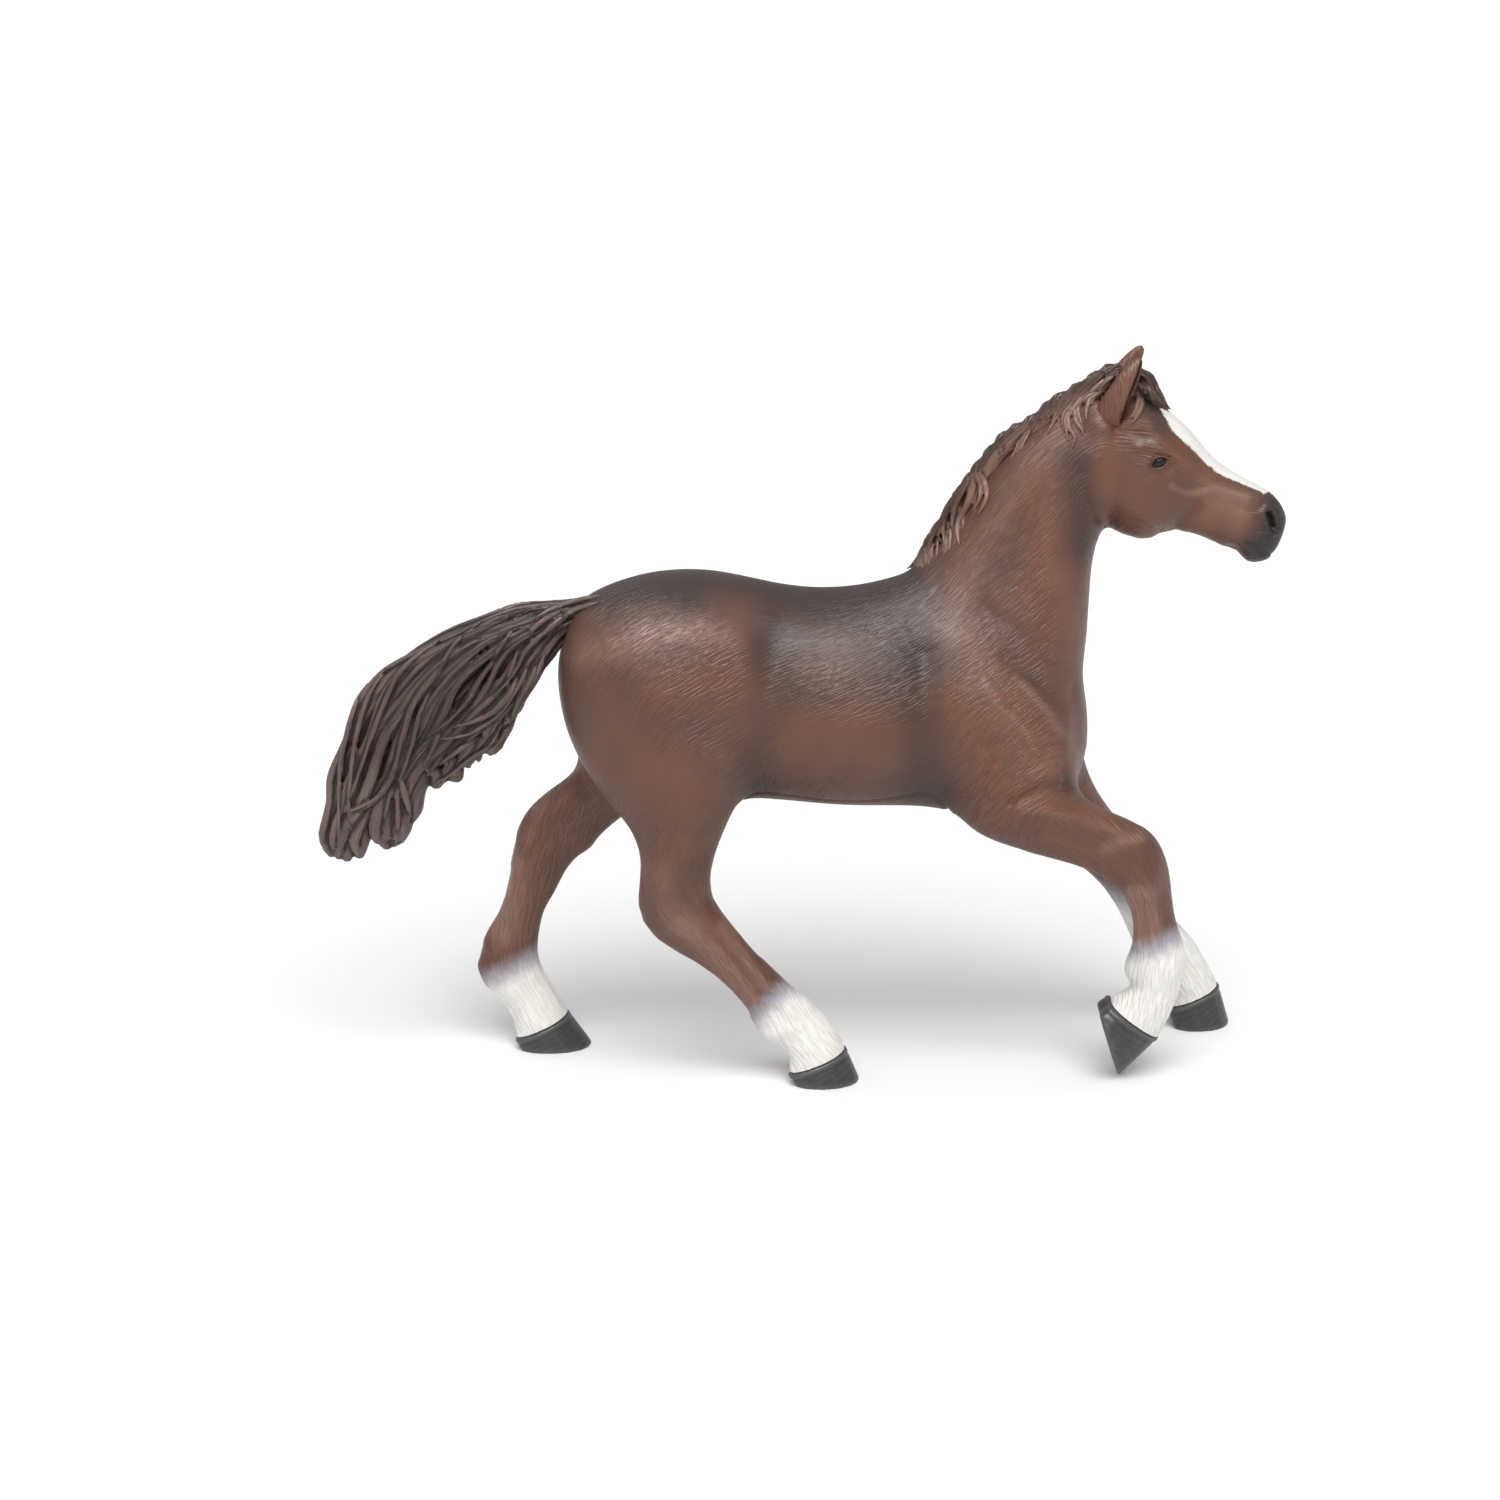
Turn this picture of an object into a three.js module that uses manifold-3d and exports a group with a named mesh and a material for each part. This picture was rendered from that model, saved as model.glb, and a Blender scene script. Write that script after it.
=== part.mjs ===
// A moulded toy horse at a canter, about one twentieth of life size, in millimetres with +Z up.
// The figure faces +X and its right side faces -Y. It stands on three flat soles and one toe.
// Every part is lofted from side-view stations: a low and a high point, a side offset and a width.

import * as THREE from 'three';
import { mergeVertices } from 'three/addons/utils/BufferGeometryUtils.js';
import Module from 'manifold-3d';

const wasm = await Module();
wasm.setup();

// Driving sizes of the animal
const bodyLength = 86;
const bodyDepth = 36;
const bodyWidth = 38;
const legHeight = 42.5;
const neckReach = 34;
const neckRise = 34;
const neckWidth = 26;
const headReach = 27;
const headDrop = 30;
const headWidth = 14;
const hindReach = 30;
const trailingReach = 24.5;
const foldedReach = 24;
const leadingReach = 32;
const legGirth = 20;
const tailReach = 44.5;
const tailDrop = 44;
const tailWidth = 14;

// Fits between the glued mouldings
const seamGap = 0.3;
const pegClearance = 0.3;
const bedGap = 0.3;
const cutOverrun = 60;

// Spigots that hold the mouldings together
const limbPegRadius = 2.6;
const limbPegLength = 5;
const headPegRadius = 3;
const headPegLength = 6;
const tailPegRadius = 2.2;
const tailPegLength = 6;
const hoofPegRadius = 1.5;
const hoofPegLength = 2.6;
const earPegRadius = 0.9;
const earPegLength = 1.8;
const pegChamfer = 0.4;

// Closing plate under the belly
const platePlaceShare = 0.535;
const plateLength = 33;
const plateWidth = 17;
const plateRecess = 6.5;

// Ears, eyes and nostrils
const earLength = 10.5;
const earWidth = 3.9;
const earDepth = 3.2;
const earHollow = 1.5;
const eyeLength = 1.35;
const eyeHeight = 1.15;
const eyeBulge = 0.95;
const eyeSink = 0.35;
const nostrilLength = 1.5;
const nostrilHeight = 0.8;
const nostrilDepth = 0.9;

// Hair locks of the mane, forelock and tail
const maneBandWidth = 6;
const maneBandRise = 2.3;
const maneCrownRise = 2.6;
const maneLockWidth = 3;
const maneLockThickness = 1.7;
const foreLockWidth = 2.6;
const foreLockThickness = 2.2;
const foreLockRise = 0.9;
const foreTuftWidth = 5;
const foreTuftThickness = 3;
const tailLockWidth = 5;
const tailLockThickness = 3;
const tailCoreSink = 0.9;

// Facet counts
const trunkSides = 26;
const trunkRings = 24;
const neckSides = 20;
const neckRings = 12;
const headSides = 18;
const headRings = 16;
const legSides = 14;
const legRings = 20;
const tailSides = 12;
const tailRings = 16;
const lockSides = 5;
const pegSides = 12;

// The section is a little squarer than an ellipse.
const sectionSquareShare = 0.92;

// Trunk stations, tail to chest: low x z, high x z, side, half width, fuller top.
// x follows bodyLength, z bodyDepth above the belly, and the width bodyWidth.
const trunkShares = [
  [0.002, 0.56, 0.002, 0.68, 0, 0.08, 0],
  [0.014, 0.39, 0.014, 0.82, 0, 0.226, 0],
  [0.044, 0.21, 0.044, 0.93, 0, 0.358, 0.05],
  [0.1, 0.1, 0.1, 0.994, 0, 0.447, 0.08],
  [0.174, 0.04, 0.174, 1.05, 0, 0.495, 0.05],
  [0.267, 0.025, 0.267, 1.067, 0, 0.505, 0],
  [0.342, 0.04, 0.342, 1.04, 0, 0.474, -0.05],
  [0.416, 0.044, 0.416, 1.006, 0, 0.453, -0.12],
  [0.49, 0.027, 0.49, 0.986, 0, 0.468, -0.15],
  [0.565, 0.017, 0.565, 0.997, 0, 0.479, -0.15],
  [0.64, 0.012, 0.64, 1.05, 0, 0.461, -0.15],
  [0.714, -0.004, 0.714, 1.09, 0, 0.432, -0.15],
  [0.788, -0.04, 0.788, 1.09, 0, 0.416, -0.12],
  [0.862, -0.052, 0.862, 1, 0, 0.389, -0.1],
  [0.932, 0.005, 0.932, 0.82, 0, 0.321, -0.05],
  [0.973, 0.114, 0.973, 0.64, 0, 0.211, 0],
  [0.99, 0.264, 0.99, 0.444, 0, 0.08, 0],
];

// Muscles and hollows on both flanks: x, z, then reach and rise, which follow bodyDepth.
const trunkSwellShares = [
  [0.15, 0.62, 0.3, 0.02],
  [0.33, 0.5, 0.2, -0.05],
  [0.5, 0.4, 0.34, 0.02],
  [0.68, 0.22, 0.16, -0.04],
  [0.77, 0.55, 0.17, 0.035],
  [0.9, 0.38, 0.17, 0.05],
  [0.66, 0.85, 0.2, -0.035],
];

// Neck stations, chest to poll: throat x z, crest x z, side, half width, fuller crest.
// x follows neckReach and z neckRise, both from the withers.
const neckShares = [
  [0.75, -0.72, 0, 0.03, 0, 0.5, -0.2],
  [0.847, -0.41, 0.074, 0.14, 0, 0.446, -0.2],
  [0.871, -0.165, 0.195, 0.262, 0, 0.373, -0.22],
  [0.879, 0.05, 0.29, 0.405, 0, 0.323, -0.24],
  [0.897, 0.19, 0.397, 0.562, 0, 0.288, -0.24],
  [0.932, 0.29, 0.532, 0.7, 0, 0.262, -0.22],
  [0.99, 0.382, 0.706, 0.826, 0, 0.238, -0.18],
  [1.06, 0.485, 0.882, 0.924, 0, 0.208, -0.1],
];
const withersShares = [0.645, 1];

// Head stations, poll to lips: jaw x z, brow x z, side, half width, fuller brow.
// x follows headReach and z headDrop, both from the poll.
const headShares = [
  [-0.048, -0.467, -0.048, -0.12, 0, 0.25, 0],
  [-0.07, -0.77, 0.02, -0.06, 0, 0.386, 0],
  [0.004, -0.845, 0.147, -0.088, 0, 0.45, 0.02],
  [0.093, -0.875, 0.282, -0.186, 0, 0.479, 0.06],
  [0.226, -0.86, 0.421, -0.3, 0, 0.443, 0.06],
  [0.367, -0.845, 0.541, -0.434, 0, 0.364, 0],
  [0.53, -0.905, 0.705, -0.535, 0, 0.307, -0.04],
  [0.693, -0.98, 0.864, -0.609, 0, 0.321, -0.05],
  [0.826, -1.01, 0.95, -0.685, 0, 0.314, 0],
  [0.93, -0.963, 0.996, -0.774, 0, 0.214, 0],
];

// Cheek, brow and nostril rim, then the hollow above the jaw; reach and rise follow headWidth.
const headSwellShares = [
  [0.12, -0.7, 0.3, 0.055],
  [0.2, -0.36, 0.16, 0.05],
  [0.42, -0.62, 0.24, -0.03],
  [0.85, -0.72, 0.16, 0.035],
];
const headSeamShare = -0.08;
const eyePlaceShares = [0.207, -0.423];
const eyeSectionShare = 0.356;
const nostrilSectionShare = 0.889;
const nostrilPlaceShares = [0.87, -0.745];

// Leg stations, root to coronet: back x z, front x z, side, half width.
// x follows the leg's own reach. z follows legHeight, and above the belly bodyDepth.
const drivingHindShares = [
  [-0.567, 1.68, 0.467, 1.7, -0.18, 0.48],
  [-0.62, 1.533, 0.447, 1.533, -0.23, 0.53],
  [-0.533, 1.31, 0.413, 1.28, -0.26, 0.485],
  [-0.38, 1.11, 0.36, 1.11, -0.28, 0.405],
  [-0.213, 0.946, 0.257, 0.946, -0.3, 0.31],
  [-0.183, 0.812, 0.193, 0.812, -0.31, 0.25],
  [-0.19, 0.696, 0.21, 0.715, -0.31, 0.23],
  [-0.16, 0.598, 0.283, 0.638, -0.32, 0.225],
  [-0.03, 0.52, 0.367, 0.558, -0.32, 0.195],
  [0.102, 0.465, 0.437, 0.499, -0.32, 0.17],
  [0.246, 0.387, 0.533, 0.428, -0.32, 0.165],
  [0.353, 0.304, 0.648, 0.348, -0.32, 0.18],
  [0.424, 0.23, 0.742, 0.285, -0.32, 0.2],
  [0.487, 0.165, 0.83, 0.228, -0.32, 0.205],
  [0.58, 0.108, 0.883, 0.174, -0.33, 0.22],
  [0.6, 0.047, 0.907, 0.132, -0.33, 0.25],
];
const trailingHindShares = [
  [-0.408, 1.486, 0.653, 1.32, 0.22, 0.48],
  [-0.351, 1.264, 0.43, 1.11, 0.24, 0.43],
  [-0.322, 1.108, 0.05, 0.965, 0.22, 0.35],
  [-0.433, 1.05, -0.095, 0.9, 0.2, 0.29],
  [-0.576, 0.991, -0.212, 0.84, 0.18, 0.255],
  [-0.69, 0.922, -0.298, 0.778, 0.17, 0.235],
  [-0.755, 0.795, -0.396, 0.72, 0.17, 0.215],
  [-0.804, 0.664, -0.469, 0.645, 0.16, 0.185],
  [-0.853, 0.555, -0.543, 0.555, 0.16, 0.17],
  [-0.935, 0.449, -0.588, 0.456, 0.16, 0.18],
  [-1, 0.344, -0.6, 0.355, 0.15, 0.205],
  [-0.984, 0.264, -0.559, 0.292, 0.15, 0.205],
  [-0.869, 0.198, -0.498, 0.228, 0.15, 0.195],
  [-0.8, 0.118, -0.445, 0.179, 0.14, 0.215],
  [-0.759, 0.047, -0.408, 0.136, 0.14, 0.25],
];
const foldedForeShares = [
  [-0.75, 1.32, 0.167, 1.68, -0.18, 0.43],
  [-0.625, 1.1, 0.25, 1.4, -0.22, 0.43],
  [-0.475, 0.965, 0.25, 1.164, -0.24, 0.39],
  [-0.221, 0.901, 0.304, 1.103, -0.25, 0.33],
  [0.008, 0.864, 0.471, 1.053, -0.26, 0.28],
  [0.246, 0.826, 0.654, 1, -0.26, 0.25],
  [0.425, 0.781, 0.8, 0.936, -0.26, 0.245],
  [0.546, 0.727, 0.875, 0.809, -0.26, 0.24],
  [0.621, 0.659, 0.9, 0.692, -0.26, 0.195],
  [0.65, 0.588, 0.929, 0.605, -0.26, 0.17],
  [0.633, 0.508, 0.983, 0.518, -0.26, 0.18],
  [0.588, 0.428, 1.008, 0.438, -0.26, 0.205],
  [0.625, 0.358, 0.967, 0.344, -0.26, 0.195],
  [0.579, 0.325, 0.917, 0.254, -0.26, 0.215],
  [0.5, 0.296, 0.833, 0.155, -0.26, 0.245],
];
const leadingForeShares = [
  [-0.406, 1.264, 0.156, 1.54, 0.18, 0.45],
  [-0.278, 1, 0.172, 1.275, 0.24, 0.425],
  [-0.119, 0.852, 0.241, 1.048, 0.28, 0.35],
  [0.062, 0.741, 0.35, 0.896, 0.31, 0.29],
  [0.206, 0.661, 0.475, 0.781, 0.34, 0.25],
  [0.303, 0.588, 0.556, 0.671, 0.36, 0.23],
  [0.366, 0.52, 0.6, 0.574, 0.37, 0.195],
  [0.422, 0.44, 0.647, 0.494, 0.39, 0.17],
  [0.475, 0.346, 0.712, 0.414, 0.4, 0.18],
  [0.522, 0.261, 0.8, 0.334, 0.42, 0.205],
  [0.603, 0.179, 0.875, 0.249, 0.43, 0.205],
  [0.669, 0.085, 0.931, 0.165, 0.44, 0.245],
];

// Each leg: place of its root along the body, place of its seam along the leg, and its sole.
// A sole is heel x z, toe x z and half width; its heel and toe follow the leg's own reach.
const legs = {
  right_hindleg: {
    stationShares: drivingHindShares, rootShare: 0.221, reach: hindReach, seamShare: 0.267,
    soleShares: [0.64, 0, 0.987, 0, 0.29], side: -1,
  },
  left_hindleg: {
    stationShares: trailingHindShares, rootShare: 0.128, reach: trailingReach, seamShare: 0.11,
    soleShares: [-0.72, 0, -0.245, 0, 0.29], side: 1,
  },
  right_foreleg: {
    stationShares: foldedForeShares, rootShare: 0.895, reach: foldedReach, seamShare: 0.214,
    soleShares: [0.417, 0.26, 0.558, 0, 0.29], side: -1,
  },
  left_foreleg: {
    stationShares: leadingForeShares, rootShare: 0.919, reach: leadingReach, seamShare: 0.182,
    soleShares: [0.7, 0, 0.997, 0, 0.29], side: 1,
  },
};

// Tail stations, root to tip: low x z, high x z, side, half width.
// x follows tailReach and z tailDrop, both from the dock.
const tailShares = [
  [0.022, -0.2, 0.08, -0.04, 0, 0.25],
  [-0.045, -0.21, 0, -0.02, 0, 0.32],
  [-0.13, -0.23, -0.101, -0.025, 0, 0.386],
  [-0.2, -0.31, -0.202, -0.03, -0.01, 0.43],
  [-0.255, -0.42, -0.33, -0.05, -0.03, 0.45],
  [-0.345, -0.53, -0.475, -0.115, -0.04, 0.46],
  [-0.46, -0.62, -0.62, -0.19, -0.04, 0.44],
  [-0.58, -0.69, -0.765, -0.295, -0.05, 0.41],
  [-0.645, -0.77, -0.875, -0.425, -0.05, 0.38],
  [-0.69, -0.85, -0.94, -0.61, -0.05, 0.34],
  [-0.76, -0.91, -0.972, -0.79, -0.05, 0.28],
  [-0.87, -0.965, -0.985, -0.945, -0.05, 0.16],
];
const dockShares = [0.07, 0.972];
const tailPegShare = 0.22;

// Tail locks: angle round the tail in half turns, start, end, sway, width and hang.
const tailLockShares = [
  [0, 0.08, 0.97, 0.05, 1.1, 0],
  [0.2, 0.12, 1, -0.06, 1.1, 0.02],
  [0.4, 0.08, 0.98, 0.07, 1.2, 0.02],
  [0.6, 0.12, 0.9, -0.07, 1.2, 0.03],
  [0.8, 0.14, 0.72, 0.06, 1.2, 0.05],
  [1, 0.12, 0.55, -0.03, 1.1, 0.06],
  [0.98, 0.3, 0.84, 0.03, 1.2, 0.04],
  [-0.8, 0.14, 0.64, 0.04, 1.2, 0.05],
  [-0.2, 0.12, 0.98, 0.06, 1.1, 0.02],
  [-0.4, 0.08, 1, -0.07, 1.2, 0.02],
  [-0.6, 0.12, 0.86, 0.07, 1.2, 0.03],
];

// Mane locks: place on the crest, side, fall round the neck in half turns, sweep and width.
const maneLockShares = [
  [1, -1, 0.28, -0.1, 1.1],
  [0.94, -1, 0.36, -0.12, 1.2],
  [0.86, -1, 0.36, -0.12, 1.2],
  [0.74, -1, 0.16, -0.12, 1.5],
  [0.62, -1, 0.16, -0.12, 1.5],
  [0.54, -1, 0.32, -0.12, 1.2],
  [0.46, -1, 0.35, -0.14, 1.2],
  [0.36, -1, 0.22, -0.12, 1.3],
  [0.26, -1, 0.17, -0.1, 1.3],
  [0.98, 1, 0.46, -0.1, 2.1],
  [0.86, 1, 0.54, -0.12, 2.3],
  [0.74, 1, 0.5, -0.12, 2.3],
  [0.62, 1, 0.57, -0.13, 2.3],
  [0.5, 1, 0.52, -0.13, 2.2],
  [0.38, 1, 0.46, -0.12, 2.1],
  [0.27, 1, 0.38, -0.11, 1.9],
  [0.16, 1, 0.26, -0.08, 1.5],
];
const maneSpanShares = [0.06, 1];
const maneLockRootShare = 0.04;

// Forelock: start and end along the head, start and end angle in half turns.
const foreLockShares = [
  [0, 0.27, -0.3, -0.42],
  [0, 0.34, -0.12, -0.14],
  [0, 0.35, 0.06, 0.1],
  [0, 0.28, 0.28, 0.38],
];

const foreTuftShares = [0.02, 0.3, 0, 0];

// Colours of the paint
const paints = {
  coat: new THREE.MeshStandardMaterial({ color: 0x6a3c2a, roughness: 0.5, metalness: 0 }),
  hair: new THREE.MeshStandardMaterial({ color: 0x4a2c22, roughness: 0.55, metalness: 0 }),
  hoof: new THREE.MeshStandardMaterial({ color: 0x35302f, roughness: 0.5, metalness: 0 }),
  eye: new THREE.MeshStandardMaterial({ color: 0x0c0807, roughness: 0.15, metalness: 0 }),
};

const across = new THREE.Vector3(0, 1, 0);

// Solids and meshes
function toSolid(geometry) {
  const bare = geometry.clone();
  bare.deleteAttribute('normal');
  bare.deleteAttribute('uv');
  const merged = mergeVertices(bare);
  const mesh = new wasm.Mesh({
    numProp: 3,
    vertProperties: new Float32Array(merged.attributes.position.array),
    triVerts: new Uint32Array(merged.index.array),
  });
  return new wasm.Manifold(mesh);
}

function toMesh(solid, name, material) {
  const { vertProperties, triVerts } = solid.getMesh();
  const geometry = new THREE.BufferGeometry();
  geometry.setAttribute('position', new THREE.BufferAttribute(vertProperties, 3));
  geometry.setIndex(new THREE.BufferAttribute(triVerts, 1));
  geometry.computeVertexNormals();
  const mesh = new THREE.Mesh(geometry, material);
  mesh.name = name;
  return mesh;
}

// The main body of a solid, without the slivers that a cut can leave.
function mainBody(solid) {
  const parts = solid.decompose();
  parts.sort((a, b) => b.volume() - a.volume());
  return parts[0];
}

// A closed skin over rings of points with a fan at each end, facing outwards.
function skin(rings) {
  const sides = rings[0].length;
  const points = rings.flat();
  const first = points.length;
  points.push(middleOf(rings[0]), middleOf(rings[rings.length - 1]));
  const faces = [];
  for (let r = 0; r < rings.length - 1; r += 1) {
    for (let s = 0; s < sides; s += 1) {
      const a = r * sides + s;
      const b = r * sides + ((s + 1) % sides);
      faces.push(a, b, b + sides, a, b + sides, a + sides);
    }
  }
  const last = (rings.length - 1) * sides;
  for (let s = 0; s < sides; s += 1) {
    const next = (s + 1) % sides;
    faces.push(first, next, s);
    faces.push(first + 1, last + s, last + next);
  }
  return facingOut(points, faces);
}

function middleOf(ring) {
  const sum = ring.reduce((total, point) => total.add(point), new THREE.Vector3());
  return sum.divideScalar(ring.length);
}

function facingOut(points, faces) {
  let volume = 0;
  for (let i = 0; i < faces.length; i += 3) {
    const [a, b, c] = [points[faces[i]], points[faces[i + 1]], points[faces[i + 2]]];
    volume += a.dot(b.clone().cross(c));
  }
  const index = volume > 0 ? faces : faces.slice().reverse();
  const geometry = new THREE.BufferGeometry().setFromPoints(points);
  geometry.setIndex(index);
  return geometry;
}

// A form is a smooth run of side-view sections, read at any share of its length.
function makeForm(rows, toPlace, widthSize, sideSize, swells = []) {
  const lows = rows.map((row) => toPlace(row[0], row[1]));
  const highs = rows.map((row) => toPlace(row[2], row[3]));
  const rest = rows.map((row) => new THREE.Vector3(row[4] * sideSize, row[5] * widthSize, row[6] ?? 0));
  const runs = [lows, highs, rest].map((run) => new THREE.CatmullRomCurve3(run, false, 'catmullrom'));
  return { runs, swells };
}

function sectionAt(form, share) {
  const [low, high, rest] = form.runs.map((run) => run.getPoint(share));
  return { low, high, side: rest.x, half: rest.y, fuller: rest.z };
}

// The skin point at an angle round a section: 0 is the high side, and +Y comes at a quarter turn.
function skinPoint(form, share, angle, grow) {
  const { low, high, side, half, fuller } = sectionAt(form, share);
  const up = high.clone().sub(low);
  const reach = up.length() / 2;
  const rise = squared(Math.cos(angle));
  const width = squared(Math.sin(angle)) * (half * (1 + fuller * rise) + grow);
  const point = low.clone().add(high).multiplyScalar(0.5);
  point.addScaledVector(up.normalize(), rise * (reach + grow));
  point.addScaledVector(across, side + width);
  return swellOut(point, form.swells, new THREE.Vector3(0, Math.sign(width), 0));
}

function squared(value) {
  return Math.sign(value) * Math.pow(Math.abs(value), sectionSquareShare);
}

function swellOut(point, swells, out) {
  for (const swell of swells) {
    const away = Math.hypot(point.x - swell.place.x, point.z - swell.place.z) / swell.reach;
    point.addScaledVector(out, swell.rise * Math.exp(-away * away));
  }
  return point;
}

function makeSwells(rows, toPlace, size) {
  return rows.map(([x, z, reach, rise]) => ({ place: toPlace(x, z), reach: reach * size, rise: rise * size }));
}

function loft(form, sides, count, grow = 0) {
  const rings = [];
  for (let r = 0; r <= count; r += 1) {
    const ring = [];
    for (let s = 0; s < sides; s += 1) {
      ring.push(skinPoint(form, r / count, (2 * Math.PI * s) / sides, grow));
    }
    rings.push(ring);
  }
  return toSolid(skin(rings));
}

// Places in the side view
function bodyPlace(x, z) {
  return new THREE.Vector3(x * bodyLength, 0, legHeight + z * bodyDepth);
}

const withers = bodyPlace(...withersShares);
const poll = withers.clone().add(new THREE.Vector3(neckReach, 0, neckRise));
const dock = bodyPlace(...dockShares);

function neckPlace(x, z) {
  return withers.clone().add(new THREE.Vector3(x * neckReach, 0, z * neckRise));
}

function headPlace(x, z) {
  return poll.clone().add(new THREE.Vector3(x * headReach, 0, z * headDrop));
}

function tailPlace(x, z) {
  return dock.clone().add(new THREE.Vector3(x * tailReach, 0, z * tailDrop));
}

function legPlace(leg, x, z) {
  const height = z <= 1 ? z * legHeight : legHeight + (z - 1) * bodyDepth;
  return new THREE.Vector3(leg.rootShare * bodyLength + x * leg.reach, 0, height);
}

// Forms of the animal
const trunkForm = makeForm(trunkShares, bodyPlace, bodyWidth, bodyWidth,
  makeSwells(trunkSwellShares, bodyPlace, bodyDepth));
const neckForm = makeForm(neckShares, neckPlace, neckWidth, bodyWidth);
const headForm = makeForm(headShares, headPlace, headWidth, headWidth,
  makeSwells(headSwellShares, headPlace, headWidth));
const tailForm = makeForm(tailShares, tailPlace, tailWidth, tailWidth);

function legForm(leg) {
  return makeForm(leg.stationShares, (x, z) => legPlace(leg, x, z), legGirth, bodyWidth);
}

// A box with one face on a seam, standing on the side that `out` points to.
function seamBlock(place, out, along, lowSide, highSide) {
  const shape = new THREE.BoxGeometry(2 * cutOverrun, highSide - lowSide, cutOverrun);
  shape.translate(0, (highSide + lowSide) / 2, cutOverrun / 2);
  const turn = new THREE.Matrix4().makeBasis(along, across.clone(), out);
  if (turn.determinant() < 0) {
    turn.makeBasis(along.clone().negate(), across.clone(), out);
  }
  shape.applyMatrix4(turn.setPosition(place));
  return toSolid(shape);
}

// A round spigot with a chamfered end that starts at a place and points along a direction.
function spigot(place, direction, radius, length, grow = 0) {
  const r = radius + grow;
  const tip = length + grow;
  const profile = [
    new THREE.Vector2(0, -seamGap - pegChamfer),
    new THREE.Vector2(r, -seamGap - pegChamfer),
    new THREE.Vector2(r, tip - pegChamfer),
    new THREE.Vector2(r - pegChamfer, tip),
    new THREE.Vector2(0, tip),
  ];
  const shape = new THREE.LatheGeometry(profile, pegSides);
  const turn = new THREE.Quaternion().setFromUnitVectors(across, direction.clone().normalize());
  shape.applyQuaternion(turn);
  shape.translate(place.x, place.y, place.z);
  return toSolid(shape);
}

// Seams of the legs
function legSeam(leg) {
  const form = legForm(leg);
  const { low, high, side } = sectionAt(form, leg.seamShare);
  const along = high.clone().sub(low).normalize();
  const out = along.clone().cross(across).normalize();
  const place = low.clone().add(high).multiplyScalar(0.5).addScaledVector(across, side);
  return { form, along, out: out.z > 0 ? out.negate() : out, place };
}

function legBlock(leg, seam, gap, bothSides = false) {
  const place = seam.place.clone().setY(0).addScaledVector(seam.out, gap);
  const low = leg.side < 0 || bothSides ? -bodyWidth : 0;
  const high = leg.side > 0 || bothSides ? bodyWidth : 0;
  return seamBlock(place, seam.out, seam.along, low, high);
}

// Hoof between the coronet, which follows the leg's last station, and the sole.
function hoofRings(leg) {
  const rows = leg.stationShares;
  const last = rows[rows.length - 1];
  const heelTop = legPlace(leg, last[0], last[1]);
  const toeTop = legPlace(leg, last[2], last[3]);
  const down = toeTop.clone().sub(heelTop).cross(across).normalize();
  const facing = down.z > 0 ? down.negate() : down;
  const [heelX, heelZ, toeX, toeZ, soleHalf] = leg.soleShares;
  const heel = legPlace(leg, heelX, heelZ);
  const toe = legPlace(leg, toeX, toeZ);
  const shift = facing.clone().multiplyScalar(seamGap);
  const side = last[4] * bodyWidth;
  return {
    facing,
    coronet: [heelTop.clone().add(shift), toeTop.clone().add(shift), last[5] * legGirth],
    sole: [heel, toe, soleHalf * legGirth],
    side,
  };
}

// Half of a hoof's outline, toe to cleft: shares of its length from the heel and of its half width.
const hoofOutlineShares = [
  [1, 0],
  [0.97, 0.34],
  [0.87, 0.65],
  [0.68, 0.9],
  [0.44, 1],
  [0.2, 0.95],
  [0.03, 0.74],
  [0, 0.42],
  [0.07, 0.12],
];

function hoofRing(heel, toe, half, side) {
  const near = hoofOutlineShares.map(([along, wide]) => [along, -wide]);
  const far = hoofOutlineShares.slice(1).map(([along, wide]) => [along, wide]).reverse();
  return [...near, ...far].map(([along, wide]) => {
    const point = heel.clone().lerp(toe, along);
    return point.addScaledVector(across, side + half * wide);
  });
}

function buildHoof(leg) {
  const { facing, coronet, sole, side } = hoofRings(leg);
  const rings = [hoofRing(...coronet, side), hoofRing(...sole, side)];
  const top = coronet[0].clone().add(coronet[1]).multiplyScalar(0.5).addScaledVector(across, side);
  const peg = spigot(top, facing.clone().negate(), hoofPegRadius, hoofPegLength);
  return toSolid(skin(rings)).add(peg);
}

function buildLeg(leg) {
  const seam = legSeam(leg);
  const whole = loft(seam.form, legSides, legRings);
  const { facing, coronet, side } = hoofRings(leg);
  const top = coronet[0].clone().add(coronet[1]).multiplyScalar(0.5).addScaledVector(across, side);
  const socket = spigot(top, facing.clone().negate(), hoofPegRadius, hoofPegLength, pegClearance);
  const start = seam.place.clone().addScaledVector(seam.out, seamGap);
  const peg = spigot(start, seam.out.clone().negate(), limbPegRadius, limbPegLength);
  return whole.intersect(legBlock(leg, seam, seamGap)).add(peg).subtract(socket);
}

// Trunk and neck in one moulding, with the roots of the legs and every socket.
function bellyBlock(inset, recess) {
  const half = plateWidth / 2 - inset;
  const straight = plateLength / 2 - plateWidth / 2;
  const outline = new THREE.Shape();
  outline.moveTo(-straight, -half);
  outline.lineTo(straight, -half);
  outline.absarc(straight, 0, half, -Math.PI / 2, Math.PI / 2, false);
  outline.lineTo(-straight, half);
  outline.absarc(-straight, 0, half, Math.PI / 2, (3 * Math.PI) / 2, false);
  const shape = new THREE.ExtrudeGeometry(outline,
    { depth: cutOverrun, bevelEnabled: false, curveSegments: pegSides / 2 });
  shape.translate(platePlaceShare * bodyLength, 0, legHeight + recess - cutOverrun);
  return toSolid(shape);
}

function headSeamPlace() {
  return headPlace(headSeamShare, -0.5);
}

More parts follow.
